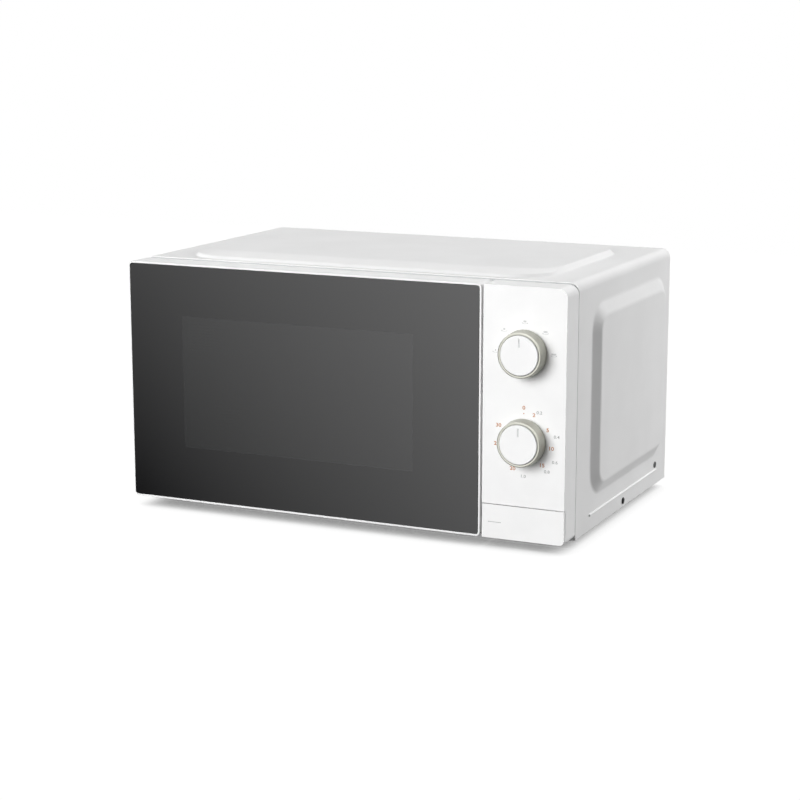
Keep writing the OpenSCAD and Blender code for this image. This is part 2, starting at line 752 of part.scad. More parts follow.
module timer_switch() {
    color("beige") {
        control_box(timer_size, dial_z[0], 5);
        rod_y(13, 6, [panel_cx, control_y0 + timer_size[1] - fit, dial_z[0] + 8]);
    }
}

module power_selector() { color("ivory") control_box(selector_size, dial_z[1], 4); }

// ---- Latch ----

latch_x0 = hook_x - hook_w / 2 - 2 * pass - plastic;
latch_x1 = hook_x + hook_w / 2 + slot_out + plastic;
latch_y1 = cavity_y0 + 42;
latch_z0 = hook_z[0] - 26;
latch_z1 = hook_z[1] + 22;
switch_x = latch_x0 + plastic + fit;
switch_y = hook_tip + 2.8;
tongue_z = 1;       // height of the switches' axis above the hooks' axis
// Heights of the three micro switches, the upper pair one above the other
switch_z = [hook_z[0] + tongue_z, hook_z[1] + tongue_z - switch_size[2] / 2 - fit,
    hook_z[1] + tongue_z + switch_size[2] / 2 + fit];
switch_room = switch_size[2] + 1.5;     // half height of a switch chamber

// The latch housing, with a chamber for each hook and its switches, open on the bay's side
module latch_body() {
    boss = lever_pin_r + 4;
    color("ivory") difference() {
        union() {
            block([latch_x0, cavity_y0, latch_z0], [latch_x1, latch_y1, latch_z1]);
            block([latch_x1 - fit, lever_pin[0] - boss, lever_pin[1] - boss],
                [latch_x1 + 4, lever_pin[0] + boss, lever_pin[1] + boss]);
            rod_x(lever_pin_r, stem_x + lever_t + 2 - latch_x1, [latch_x1, lever_pin[0], lever_pin[1]]);
        }
        for (z = hook_z) {
            hook_gap(cavity_y0 - over, switch_y + fit, z);
            block([latch_x0 + plastic, hook_tip, z + tongue_z - switch_room],
                [latch_x1 + over, latch_y1 + over, z + tongue_z + switch_room]);
        }
        block([latch_x0 + plastic, cavity_y0 + 6, hook_z[0] + 24],
            [latch_x1 + over, latch_y1 + over, hook_z[1] - 20]);
        block([latch_x0 + plastic, finger_y - 4, hook_z[0]],
            [latch_x1 + over, hook_tip + fit, finger_z + lever_arm]);
    }
}

module micro_switches() {
    color("black") for (z = switch_z) difference() {
        block([switch_x, switch_y, z - switch_size[2] / 2],
            [switch_x + switch_size[0], switch_y + switch_size[1], z + switch_size[2] / 2]);
        block([hook_x - 1.6, switch_y - over, z - 1.6], [hook_x + 1.6, switch_y + 5, z + 1.6]);
    }
    color("silver") for (z = switch_z, x = [3, 9])
        block([switch_x + x, switch_y + switch_size[1] - fit, z - 2.5],
            [switch_x + x + 0.8, switch_y + switch_size[1] + 6, z + 2.5]);
}

module switch_buttons() {
    color("red") for (z = switch_z)
        block([hook_x - 1.3, hook_tip + 0.3, z - 1.3], [hook_x + 1.3, switch_y + 3, z + 1.3]);
}

// ---- Machine bay ----

waveguide_x1 = bay_x0 + waveguide_size[0];

module waveguide() {
    s = waveguide_size;
    color("silver") difference() {
        block([bay_x0, axis_y - s[1] / 2, axis_z - s[2] / 2],
            [waveguide_x1, axis_y + s[1] / 2, axis_z + s[2] / 2]);
        block([bay_x0 - over, axis_y - s[1] / 2 + sheet, axis_z - s[2] / 2 + sheet],
            [waveguide_x1 - sheet, axis_y + s[1] / 2 - sheet, axis_z + s[2] / 2 - sheet]);
        rod_x(antenna_r + 2, 4 * sheet, [waveguide_x1 - 2 * sheet, axis_y, axis_z]);
    }
}

mica_t = 0.5;       // thickness of the mica sheet

module waveguide_cover() {
    lap = 12;
    color("tan") block([cavity_x1 - mica_t, axis_y - port_d / 2 - lap, axis_z - port_h / 2 - lap],
        [cavity_x1, axis_y + port_d / 2 + lap, axis_z + port_h / 2 + lap]);
}

yoke_t = 1.5;       // thickness of the magnetron's yoke
fin_t = 0.8;        // thickness of a cooling fin
fins = 7;           // number of cooling fins

module magnetron_body() {
    s = magnetron_size;
    x0 = waveguide_x1;
    x1 = x0 + s[0];
    y0 = axis_y - s[1] / 2;
    z0 = axis_z - s[2] / 2;
    color("silver") {
        difference() {
            block([x0, y0, z0], [x1, y0 + s[1], z0 + s[2]]);
            block([x0 + yoke_t, y0 - over, z0 + yoke_t], [x1 - yoke_t, y0 + s[1] + over, z0 + s[2] - yoke_t]);
            rod_x(antenna_r + 0.2, 2 * yoke_t + 2, [x0 - over, axis_y, axis_z]);
        }
        for (side = [0, 1]) rod_x(antenna_r + 18, 12,
            [side == 0 ? x0 + yoke_t - fit : x1 - yoke_t - 12 + fit, axis_y, axis_z]);
        rod_x(antenna_r + 10, s[0] - 2 * yoke_t - 20, [x0 + yoke_t + 10, axis_y, axis_z]);
        for (i = [0 : fins - 1]) translate([x0 + 16 + i * (s[0] - 32) / (fins - 1), 0, 0])
            block([-fin_t / 2, y0 + 3, z0 + yoke_t - fit],
                [fin_t / 2, y0 + s[1] - 3, z0 + s[2] - yoke_t + fit]);
    }
}

module magnetron_antenna() {
    color("pink") {
        rod_x(antenna_r, antenna_l - 10 + yoke_t - fit, [waveguide_x1 - antenna_l + 10, axis_y, axis_z]);
        rod_x(antenna_r - 1, 10.1, [waveguide_x1 - antenna_l, axis_y, axis_z]);
    }
}

filter_size = [18, 56, 50];     // width, depth and height of the magnetron's filter box

module magnetron_filter_box() {
    x0 = waveguide_x1 + magnetron_size[0];
    color("lightgray") {
        block([x0, axis_y - filter_size[1] / 2, axis_z - filter_size[2] / 2],
            [x0 + filter_size[0], axis_y + filter_size[1] / 2, axis_z + filter_size[2] / 2]);
        block([x0 + 3, axis_y - filter_size[1] / 2 - 9, axis_z - 10],
            [x0 + 15, axis_y - filter_size[1] / 2 + fit, axis_z + 10]);
    }
}

core_x = bay_x0 + bay_w - core_size[0] / 2 - 14;
core_cy = cavity_y0 + core_y;
limb_w = 20;        // width of the core's limbs
coil_out = 16;      // how far the windings stand out of the core
slit = 0.4;         // gap between the windings and the core

// The windows in the core that the windings pass through
module core_windows(inset) {
    w = core_size[0] / 2 - 1.5 * limb_w;
    h = core_size[2] - 2 * limb_w;
    for (side = [-1, 1]) translate([core_x + side * (limb_w / 2 + w / 2) - w / 2 + inset,
        deck_z + limb_w + inset])
        square([w - 2 * inset, h - 2 * inset]);
}

module transformer_core() {
    y0 = core_cy - core_size[1] / 2;
    color("dimgray") difference() {
        union() {
            block([core_x - core_size[0] / 2, y0, deck_z],
                [core_x + core_size[0] / 2, y0 + core_size[1], deck_z + core_size[2]]);
            block([core_x - core_size[0] / 2 - 9, y0 + 8, deck_z],
                [core_x + core_size[0] / 2 + 9, y0 + core_size[1] - 8, deck_z + 2]);
        }
        upright(y0 - over, core_size[1] + 2 * over) core_windows(0);
    }
}

// One winding around the middle limb, between two heights of the window
module winding(low, high) {
    h = core_size[2] - 2 * limb_w;
    z0 = deck_z + limb_w + slit + low * (h - 2 * slit);
    z1 = deck_z + limb_w + slit + high * (h - 2 * slit);
    x = core_size[0] / 2 - limb_w - slit;
    y = core_size[1] / 2 + coil_out;
    difference() {
        translate([core_x - x, core_cy - y, z0]) linear_extrude(z1 - z0) rounded(2 * x, 2 * y, 9);
        block([core_x - limb_w / 2 - slit, core_cy - core_size[1] / 2 - slit, z0 - over],
            [core_x + limb_w / 2 + slit, core_cy + core_size[1] / 2 + slit, z1 + over]);
    }
}

module transformer_primary() { color("peru") winding(0, 0.46); }
module transformer_secondary() { color("saddlebrown") winding(0.54, 1); }

capacitor_w = 20;   // distance between the round ends of the capacitor's section
capacitor_x = bay_x0 + 34;
capacitor_y0 = rear_y - capacitor_l - 16;
capacitor_z = deck_z + capacitor_r + sheet + 2 * fit;

// The capacitor's oval section, grown by an amount
module oval(grow) {
    for (side = [-1, 1]) translate([side * capacitor_w / 2, 0]) circle(capacitor_r + grow);
    translate([-capacitor_w / 2, -capacitor_r - grow]) square([capacitor_w, 2 * (capacitor_r + grow)]);
}

module hv_capacitor() {
    color("silver") {
        upright(capacitor_y0, capacitor_l) translate([capacitor_x, capacitor_z]) oval(0);
        for (side = [-1, 1]) block([capacitor_x + side * 9 - 3, capacitor_y0 - 9, capacitor_z - 0.4],
            [capacitor_x + side * 9 + 3, capacitor_y0 + fit, capacitor_z + 0.4]);
    }
}

module capacitor_clamp() {
    y0 = capacitor_y0 + capacitor_l / 2 - 6;
    color("lightgray") {
        upright(y0, 12) translate([capacitor_x, capacitor_z]) difference() {
            oval(fit + sheet);
            oval(fit);
        }
        block([capacitor_x + capacitor_w / 2, y0, deck_z],
            [capacitor_x + capacitor_w / 2 + capacitor_r + 14, y0 + 12, deck_z + sheet]);
    }
}

diode_at = [capacitor_x + capacitor_w / 2 + capacitor_r + 14, capacitor_y0 + 4, deck_z + 12];

module hv_diode() {
    color("black") {
        rod_y(4, 18, diode_at);
        rod_y(0.8, 34, [diode_at[0], diode_at[1] - 8, diode_at[2]]);
    }
    color("silver") block([diode_at[0] - 5, diode_at[1] + 25, deck_z],
        [diode_at[0] + 5, diode_at[1] + 26, deck_z + 18]);
}

fan_x = bay_x0 + bay_w / 2;
fan_axis_z = cavity_z0 + fan_z;
duct_y1 = rear_y - 14;
duct_y0 = duct_y1 - duct_d;
blade_gap = 2.5;    // gap between the fan's blades and its duct
fan_shaft_r = 1.6;  // radius of the fan motor's shaft
hub_r = 9;          // radius of the fan's hub
blades = 5;         // number of blades

module fan_duct() {
    half = duct_w / 2;
    color("gray") difference() {
        union() {
            block([fan_x - half, duct_y0, fan_axis_z - half], [fan_x + half, duct_y1, fan_axis_z + half]);
            for (sx = [-1, 1], sz = [-1, 1]) block(
                [fan_x + sx * (half - 4) - 4, duct_y1 - fit, fan_axis_z + sz * (half - 4) - 4],
                [fan_x + sx * (half - 4) + 4, rear_y, fan_axis_z + sz * (half - 4) + 4]);
        }
        rod_y(fan_r + blade_gap, duct_d + 2 * over, [fan_x, duct_y0 - over, fan_axis_z]);
    }
}

module fan_motor() {
    y0 = duct_y1 + 1.5;
    color("dimgray") difference() {
        union() {
            block([fan_x - 28, y0, fan_axis_z - 12], [fan_x + 28, y0 + 10, fan_axis_z + 12]);
            rod_y(13, 10.5, [fan_x, y0, fan_axis_z]);
            for (side = [-1, 1]) block([fan_x + side * 31 - 4, y0 + 8, fan_axis_z - 5],
                [fan_x + side * 31 + 4, rear_y, fan_axis_z + 5]);
        }
        rod_y(fan_shaft_r + running, 8, [fan_x, y0 - over, fan_axis_z]);
    }
}

module fan_blade() {
    y0 = duct_y0 + 4;
    l = duct_d - 8;
    color("orange") {
        rod_y(hub_r, l, [fan_x, y0, fan_axis_z]);
        rod_y(fan_shaft_r, duct_y1 + 6 - y0 - l + fit, [fan_x, y0 + l - fit, fan_axis_z]);
        translate([fan_x, y0 + l / 2, fan_axis_z]) intersection() {
            rod_y(fan_r, l, [0, -l / 2, 0]);
            for (i = [0 : blades - 1]) rotate([0, i * 360 / blades, 0]) rotate([0, 0, 32])
                block([-9, -0.8, 0], [9, 0.8, fan_r + 4]);
        }
    }
}

motor_top = cavity_z0 - sheet - 1;

module turntable_motor() {
    color("silver") difference() {
        union() {
            rod_z(motor_r, motor_h, [cavity_cx, cavity_cy, motor_top - motor_h]);
            block([cavity_cx - motor_r - 8, cavity_cy - 5, motor_top - 1],
                [cavity_cx + motor_r + 8, cavity_cy + 5, motor_top]);
            for (side = [-1, 1]) rod_z(3, 1.1,
                [cavity_cx + side * (motor_r + 4.5), cavity_cy, motor_top - fit]);
        }
        rod_z(drive_r + running, 9, [cavity_cx, cavity_cy, motor_top - 8]);
    }
}

lamp_r = 11;        // radius of the lamp's bulb
lamp_x = bay_x0 + 3;

module oven_lamp() {
    color("lightyellow") translate([lamp_x, lamp_y, lamp_z]) rotate([0, 90, 0]) {
        translate([0, 0, lamp_r]) sphere(lamp_r);
        translate([0, 0, lamp_r]) cylinder(r = 0.72 * lamp_r, h = 20);
    }
    color("silver") rod_x(0.62 * lamp_r, 14, [lamp_x + lamp_r + 19.9, lamp_y, lamp_z]);
}

module lamp_holder() {
    x0 = lamp_x + lamp_r + 22;
    side = 2 * lamp_r + 4;
    color("ivory") difference() {
        union() {
            block([x0, lamp_y - side / 2, lamp_z - side / 2],
                [x0 + 12, lamp_y + side / 2, lamp_z + side / 2]);
            block([bay_x0, lamp_y - side / 2, lamp_z - side / 2],
                [x0 + fit, lamp_y - side / 2 + plastic / 2, lamp_z + side / 2]);
            block([bay_x0, lamp_y + side / 2 - plastic / 2, lamp_z - side / 2],
                [x0 + fit, lamp_y + side / 2, lamp_z + side / 2]);
        }
        rod_x(0.62 * lamp_r + fit, 40, [x0 - over, lamp_y, lamp_z]);
    }
}

module cavity_thermostat() {
    at = [cavity_x1 - 50, cavity_cy - 30, roof_z];
    color("black") {
        rod_z(8, 8, at);
        for (side = [-1, 1]) block([at[0] + side * 4 - 2, at[1] - 0.4, at[2] + 7.9],
            [at[0] + side * 4 + 2, at[1] + 0.4, at[2] + 13]);
    }
    color("silver") block([at[0] - 15, at[1] - 6, at[2]], [at[0] + 15, at[1] + 6, at[2] + 0.8]);
}

board_size = [82, 62, 1.6];     // width, depth and thickness of the mains filter's board

module filter_board() {
    x0 = cavity_x1 - 120;
    y0 = cavity_y1 - 90;
    z0 = roof_z + 4;
    top = z0 + board_size[2] - fit;
    color("green") block([x0, y0, z0], [x0 + board_size[0], y0 + board_size[1], z0 + board_size[2]]);
    color("white") for (x = [6, 76], y = [6, 56]) rod_z(2.5, 4 + fit, [x0 + x, y0 + y, roof_z]);
    color("orange") difference() {
        rod_z(10, 9, [x0 + 24, y0 + 31, top]);
        rod_z(4, 11, [x0 + 24, y0 + 31, top - over]);
    }
    color("gold") block([x0 + 42, y0 + 22, top], [x0 + 52, y0 + 44, top + 10]);
    color("skyblue") rod_y(3, 22, [x0 + 66, y0 + 20, top + 3]);
}

module cord_bushing() {
    color("black") difference() {
        union() {
            rod_y(bushing_r - fit, sheet + 8, [bushing_x, rear_y - 6, bushing_z]);
            rod_y(bushing_r + 2.5, 3, [bushing_x, rear_y + sheet, bushing_z]);
        }
        rod_y(3.6, sheet + 14, [bushing_x, rear_y - 8, bushing_z]);
    }
}

lead_r = 1.6;       // radius of the high-voltage lead

// A smooth lead from the capacitor's terminal up to the magnetron's filter box
lead_points = [[capacitor_x + 9, capacitor_y0 - 9, capacitor_z],
    [capacitor_x + 11, capacitor_y0 - 18, capacitor_z + 6],
    [capacitor_x + 20, capacitor_y0 - 20, capacitor_z + 30],
        [capacitor_x + 40, capacitor_y0 - 12, capacitor_z + 60],
    [capacitor_x + 55, axis_y - filter_size[1] / 2 - 20, axis_z - 36],
    [waveguide_x1 + magnetron_size[0] + 9, axis_y - filter_size[1] / 2 - 16, axis_z - 12],
    [waveguide_x1 + magnetron_size[0] + 9.2, axis_y - filter_size[1] / 2 - 9.3, axis_z]];
lead_steps = 5;     // rings between two points of the lead

// A point on the smooth curve through four points
function curve(a, b, c, d, t) =
    0.5 * (2 * b + (c - a) * t + (2 * a - 5 * b + 4 * c - d) * t * t + (3 * b - a - 3 * c + d) * t * t * t);
function lead_point(i) = let (n = len(lead_points), k = min(floor(i / lead_steps), n - 2),
    t = i / lead_steps - k)
    curve(lead_points[max(k - 1, 0)], lead_points[k], lead_points[k + 1], lead_points[min(k + 2, n - 1)], t);
function unit(v) = v / norm(v);

module high_voltage_lead() {
    rings = (len(lead_points) - 1) * lead_steps;
    path = [for (i = [0 : rings]) lead_point(i)];
    points = [for (i = [0 : rings], k = [0 : coil_sides - 1])
        let (d = unit(path[min(i + 1, rings)] - path[max(i - 1, 0)]), u = unit(cross(d, [1, 0.2, 0])),
            v = cross(d, u))
            path[i] + lead_r * (cos(k * 360 / coil_sides) * u + sin(k * 360 / coil_sides) * v)];
    walls = [for (i = [0 : rings - 1], k = [0 : coil_sides - 1])
        let (n = (k + 1) % coil_sides, a = i * coil_sides)
            [a + n, a + coil_sides + n, a + coil_sides + k, a + k]];
    first = [for (k = [coil_sides - 1 : -1 : 0]) k];
    last = [for (k = [0 : coil_sides - 1]) rings * coil_sides + k];
    color("red") polyhedron(points, concat([first], [last], walls), convexity = 8);
}

// ---- Hinges ----

plate_h = 22;       // height of the bracket's plate behind the front frame

// A bracket behind the front frame, its tongue and the pin riveted into it
module hinge(z) {
    color("silver") {
        block([pin_at[0] - tongue_w / 2, pin_at[1], z - bracket_t / 2],
            [pin_at[0] + tongue_w / 2, cavity_y0 + bracket_t, z + bracket_t / 2]);
        rod_z(tongue_w / 2, bracket_t, [pin_at[0], pin_at[1], z - bracket_t / 2]);
        block([left_x + sheet + 2 * fit, cavity_y0, z - plate_h / 2],
            [cavity_x0 - 2 * sheet - 3, cavity_y0 + bracket_t, z + plate_h / 2]);
        rod_z(pin_r, 2 * pin_l + bracket_t, [pin_at[0], pin_at[1], z - bracket_t / 2 - pin_l]);
    }
}

module upper_hinge() { hinge(hinge_z[1]); }
module lower_hinge() { hinge(hinge_z[0]); }

// ---- Door ----

glass_x1 = door_x1 - rim;
glass_low = front_z0 + rim;
left_rim = 0.4;     // width of the rim on the hinge side
pocket_x0 = left_x + 2 * pin_x + 1;
pocket_x1 = door_x1 - 2 * plastic;
pocket_z0 = front_z0 + 3 * plastic;
pocket_z1 = front_z1 - 3 * plastic;
window_x0 = cavity_x0 + window_side;
window_x1 = cavity_x1 - window_side;
window_z0 = cavity_z0 + window_end;
window_z1 = cavity_z1 - window_end;
swing_r = pin_x - 0.5;          // radius of the door's rounded back corner

module door_glass() {
    color("black", 0.8) upright(front_y, glass_t) translate([left_x + left_rim + fit, glass_low + fit])
        rounded(glass_x1 - left_x - left_rim - 2 * fit, front_h - 2 * rim - 2 * fit, door_corner - 1);
}

module window_outline(grow) {
    translate([window_x0 - grow, window_z0 - grow])
        square([window_x1 - window_x0 + 2 * grow, window_z1 - window_z0 + 2 * grow]);
}

module door_frame() {
    seat = front_y + glass_t;
    color("white") {
        difference() {
            upright(front_y + 0.1, door_t - 0.1) translate([left_x, front_z0])
                rounded(door_w, front_h, door_corner);
            upright(front_y - over, glass_t + over) translate([left_x + left_rim, glass_low])
                rounded(glass_x1 - left_x - left_rim, front_h - 2 * rim, door_corner - 1);
            block([pocket_x0, seat + plastic, pocket_z0], [pocket_x1, door_back + over, pocket_z1]);
            upright(front_y, door_t) window_outline(0);
            difference() {
                block([left_x - over, door_back - swing_r, 0],
                    [left_x + swing_r, door_back + over, cabinet_z1]);
                rod_z(swing_r, cabinet_z1, [left_x + swing_r, door_back - swing_r, 0]);
            }
            for (z = hinge_z) {
                rod_z(pin_r + running, 2 * pin_l + bracket_t + 2,
                    [pin_at[0], pin_at[1], z - bracket_t / 2 - pin_l - 1]);
                block([left_x - over, pin_at[1] - tongue_w / 2 - 3, z - bracket_t / 2 - pass],
                    [pocket_x0 + over, door_back + over, z + bracket_t / 2 + pass]);
            }
        }
        for (x = [choke_x0 + choke_w / 2, choke_x1 - choke_w / 2],
            z = [pocket_z0 + choke_w / 2, pocket_z1 - choke_w / 2])
            rod_y(boss_r, choke_y0 - seat - plastic + fit, [x, seat + plastic - fit, z]);
        block([hook_x - spring_seat, seat + plastic - fit, spring_z0 - plastic],
            [hook_x + spring_seat, bar_y1, spring_z0]);
    }
}

boss_r = 4;         // radius of the bosses that carry the choke
choke_y1 = door_back - plastic - 2 * fit;
choke_y0 = choke_y1 - choke_d;
choke_x0 = pocket_x0 + 2 * fit;
choke_x1 = cavity_x1 + 12;

// The opening in the choke, grown by an amount
module choke_opening(grow) {
    inset = choke_w + sheet - grow;
    translate([choke_x0 + inset, pocket_z0 + 2 * fit + inset])
        square([choke_x1 - choke_x0 - 2 * inset, pocket_z1 - pocket_z0 - 4 * fit - 2 * inset]);
}

module door_choke() {
    z0 = pocket_z0 + 2 * fit;
    z1 = pocket_z1 - 2 * fit;
    color("gray") difference() {
        block([choke_x0, choke_y0, z0], [choke_x1, choke_y1, z1]);
        difference() {
            block([choke_x0 + sheet, choke_y0 + sheet, z0 + sheet],
                [choke_x1 - sheet, choke_y1 + over, z1 - sheet]);
            block([choke_x0 + choke_w, choke_y0, z0 + choke_w],
                [choke_x1 - choke_w, choke_y1 + over, z1 - choke_w]);
        }
        upright(choke_y0 - over, choke_d + 2 * over) choke_opening(0);
    }
}

// The sheet that keeps the microwaves in, welded over the choke's opening
module door_screen() {
    lap = 6;
    color("darkgray") upright(choke_y0 - sheet, sheet) choke_opening(lap);
}

// The film behind the window, stuck to the choke cover
module inner_window() {
    lap = 6;
    color("gray", 0.5) upright(door_back - plastic - film_t, film_t) window_outline(lap);
}

module choke_cover() {
    y0 = door_back - plastic;
    x0 = pocket_x0 + fit;
    x1 = pocket_x1 - fit;
    color("white") difference() {
        block([x0, y0, pocket_z0 + fit], [x1, door_back - 0.2, pocket_z1 - fit]);
        upright(y0 - over, plastic + 2 * over) window_outline(0);
        for (z = hook_z) block([hook_x - hook_w / 2 - pass, y0 - over, z - hook_h / 2 - hook_travel - pass],
            [hook_x + hook_w / 2 + pass, door_back + over, z + hook_h / 2 + hook_nose + pass]);
        for (z = hinge_z) block([x0 - over, y0 - over, z - bracket_t / 2 - pass],
            [x0 + 8, door_back + over, z + bracket_t / 2 + pass]);
    }
}

bar_y1 = choke_y1 - 1;
bar_t = 5;          // thickness of the bar that joins the hooks

module door_hooks() {
    z0 = hook_z[0] - hook_h / 2;
    color("ivory") {
        block([hook_x - hook_w / 2, bar_y1 - bar_t, z0 - 10],
            [hook_x + hook_w / 2, bar_y1, hook_z[1] + hook_h / 2]);
        for (z = hook_z) {
            block([hook_x - hook_w / 2, bar_y1 - bar_t, z - hook_h / 2],
                [hook_x + hook_w / 2, hook_tip, z + hook_h / 2]);
            sideways(hook_x - hook_w / 2, hook_w) translate([hook_tip, z + hook_h / 2 - fit])
                polygon([[0, 0], [0, 0.5], [-4, hook_nose + fit], [-7, hook_nose + fit], [-7, 0]]);
        }
    }
}

spring_l = 16;      // length of the hooks' spring
spring_z1 = hook_z[0] - hook_h / 2 - 10 - 0.2;
spring_z0 = spring_z1 - spring_l - 0.2;

module hook_spring() {
    color("silver") translate([hook_x, bar_y1 - bar_t / 2, spring_z0 + 0.2])
        coil(1.7, spring_wire, spring_l, 6);
}

// ---- Turntable ----

tray_r = min(cavity_w, cavity_d) / 2 - tray_gap;
tray_z = cavity_z0 + 2 * roller_r + 0.6;
roller_z = cavity_z0 + roller_r + 0.3;
coupler_top = tray_z - 1;

module glass_tray() {
    color("lightcyan", 0.5) {
        translate([cavity_cx, cavity_cy, tray_z]) rotate_extrude($fn = 128) polygon([
            [0, 0], [tray_r - 24, 0], [tray_r - 6, 2], [tray_r - 1, tray_rim - 2], [tray_r, tray_rim - 1],
            [tray_r - 1.5, tray_rim], [tray_r - 3.5, tray_rim - 1.5], [tray_r - 9, tray_t + 1.5],
            [tray_r - 25, tray_t], [0, tray_t]]);
        for (i = [0 : 2]) rotate_about(i * 120) rod_z(3, 4, [cavity_cx + 11, cavity_cy, tray_z - 3.9]);
    }
}

// Turns its children around the turntable's axis
module rotate_about(angle) {
    translate([cavity_cx, cavity_cy, 0]) rotate([0, 0, angle]) translate([-cavity_cx, -cavity_cy, 0])
        children();
}

module turntable_coupler() {
    z0 = cavity_z0 + 1;
    color("ivory") {
        rod_z(6.5, coupler_top - z0, [cavity_cx, cavity_cy, z0]);
        for (i = [0 : 2]) rotate_about(60 + i * 120)
            block([cavity_cx, cavity_cy - 2.5, coupler_top - 6],
                [cavity_cx + 12.5, cavity_cy + 2.5, coupler_top]);
        rod_z(drive_r, z0 - motor_top + 6 + fit, [cavity_cx, cavity_cy, motor_top - 6]);
    }
}

ring_in = 16;       // inner radius of the roller ring's hub
ring_h = 5;         // height of the ring's section
ring_out = track_r - roller_w / 2 - 1.5;
axle_end = track_r + roller_w / 2 + 0.4;

module roller_ring() {
    color("ivory") {
        rod = ring_h / 2;
        translate([cavity_cx, cavity_cy, roller_z - rod]) {
            difference() {
                cylinder(r = ring_in + 4, h = ring_h);
                translate([0, 0, -over]) cylinder(r = ring_in, h = ring_h + 2 * over);
            }
            difference() {
                cylinder(r = ring_out, h = ring_h);
                translate([0, 0, -over]) cylinder(r = ring_out - 6, h = ring_h + 2 * over);
            }
        }
        for (i = [0 : 2]) rotate_about(i * 120) {
            block([cavity_cx + ring_in + 2, cavity_cy - 3, roller_z - rod],
                [cavity_cx + ring_out - 3, cavity_cy + 3, roller_z + rod]);
            rod_x(axle_r, axle_end - ring_out + 1, [cavity_cx + ring_out - 1, cavity_cy, roller_z]);
            rod_x(1.6 * axle_r, 1.2, [cavity_cx + axle_end, cavity_cy, roller_z]);
        }
    }
}

module roller(i) {
    color("ivory") rotate_about(i * 120) difference() {
        rod_x(roller_r, roller_w, [cavity_cx + track_r - roller_w / 2, cavity_cy, roller_z]);
        rod_x(axle_r + running, roller_w + 2 * over,
            [cavity_cx + track_r - roller_w / 2 - over, cavity_cy, roller_z]);
    }
}

module roller_1() { roller(0); }
module roller_2() { roller(1); }
module roller_3() { roller(2); }

outer_cabinet();
base_plate();
rear_plate();
oven_cavity();
front_frame();
feet();
rear_spacer();
cabinet_screws();
control_panel();
timer_switch();
power_selector();
latch_body();
micro_switches();
switch_buttons();
magnetron_body();
magnetron_antenna();
magnetron_filter_box();
waveguide();
waveguide_cover();
transformer_core();
transformer_primary();
transformer_secondary();
hv_capacitor();
capacitor_clamp();
hv_diode();
fan_motor();
fan_duct();
fan_blade();
turntable_motor();
oven_lamp();
lamp_holder();
cavity_thermostat();
filter_board();
cord_bushing();
upper_hinge();
lower_hinge();
high_voltage_lead();
door_frame();
door_glass();
door_screen();
door_choke();
choke_cover();
inner_window();
door_hooks();
hook_spring();
open_button();
button_spring();
opener_lever();
timer_skirt();
timer_cap();
timer_shaft();
power_skirt();
power_cap();
power_shaft();
glass_tray();
turntable_coupler();
roller_ring();
roller_1();
roller_2();
roller_3();
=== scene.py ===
import json
import math
import bmesh
import bpy
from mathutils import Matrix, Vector

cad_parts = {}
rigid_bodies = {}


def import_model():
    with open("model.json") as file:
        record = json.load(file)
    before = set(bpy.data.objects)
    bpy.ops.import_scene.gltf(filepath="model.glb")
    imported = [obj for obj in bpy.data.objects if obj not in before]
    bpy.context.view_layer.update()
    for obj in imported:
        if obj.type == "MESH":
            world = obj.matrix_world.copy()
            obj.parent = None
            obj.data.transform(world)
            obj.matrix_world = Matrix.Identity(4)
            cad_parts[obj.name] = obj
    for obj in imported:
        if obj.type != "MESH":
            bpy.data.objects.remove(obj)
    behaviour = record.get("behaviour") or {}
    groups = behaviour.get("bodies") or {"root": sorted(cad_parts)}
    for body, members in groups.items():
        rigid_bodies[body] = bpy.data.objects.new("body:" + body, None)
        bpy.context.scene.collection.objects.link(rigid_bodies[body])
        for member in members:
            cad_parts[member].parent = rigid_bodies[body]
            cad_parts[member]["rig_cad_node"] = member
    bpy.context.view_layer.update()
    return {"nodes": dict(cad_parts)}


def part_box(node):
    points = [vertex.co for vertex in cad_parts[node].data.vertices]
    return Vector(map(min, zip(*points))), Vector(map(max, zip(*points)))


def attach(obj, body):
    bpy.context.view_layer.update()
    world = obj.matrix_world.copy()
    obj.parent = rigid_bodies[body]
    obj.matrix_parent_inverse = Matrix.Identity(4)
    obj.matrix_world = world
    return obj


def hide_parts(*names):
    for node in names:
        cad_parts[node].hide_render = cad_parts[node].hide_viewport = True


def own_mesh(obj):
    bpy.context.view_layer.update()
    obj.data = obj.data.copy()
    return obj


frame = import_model()
bpy.ops.object.select_all(action="DESELECT")
MM = 0.001

# Studio. The oven stands on a plain white sweep and is seen from a little above
# and to the right of its front, under soft boxes. One graded card stands to the
# left of the camera and is seen only in gloss, such as the door glass has.


def linear(code):
    """The linear colour of an sRGB hex value."""
    parts = [int(code[i:i + 2], 16) / 255 for i in (0, 2, 4)]
    return (*[p / 12.92 if p <= 0.04045 else ((p + 0.055) / 1.055) ** 2.4 for p in parts], 1)


def add_node(tree, kind, inputs=None, links=None, **settings):
    """Adds a node, gives its settings and input values, and links its inputs."""
    made = tree.nodes.new(kind)
    for key, value in settings.items():
        setattr(made, key, value)
    for key, value in (inputs or {}).items():
        made.inputs[key].default_value = value
    for key, source in (links or {}).items():
        tree.links.new(source, made.inputs[key])
    return made


def softbox(name, place, target, size, power):
    """A rectangular soft light of a size in metres, aimed at a point."""
    way = (Vector(target) - Vector(place)).to_track_quat("-Z", "Y").to_euler()
    bpy.ops.object.light_add(type="AREA", location=place, rotation=way)
    light = bpy.context.object
    light.name = name
    light.data.shape = "RECTANGLE"
    light.data.size, light.data.size_y = size
    light.data.energy = power
    light.visible_glossy = False


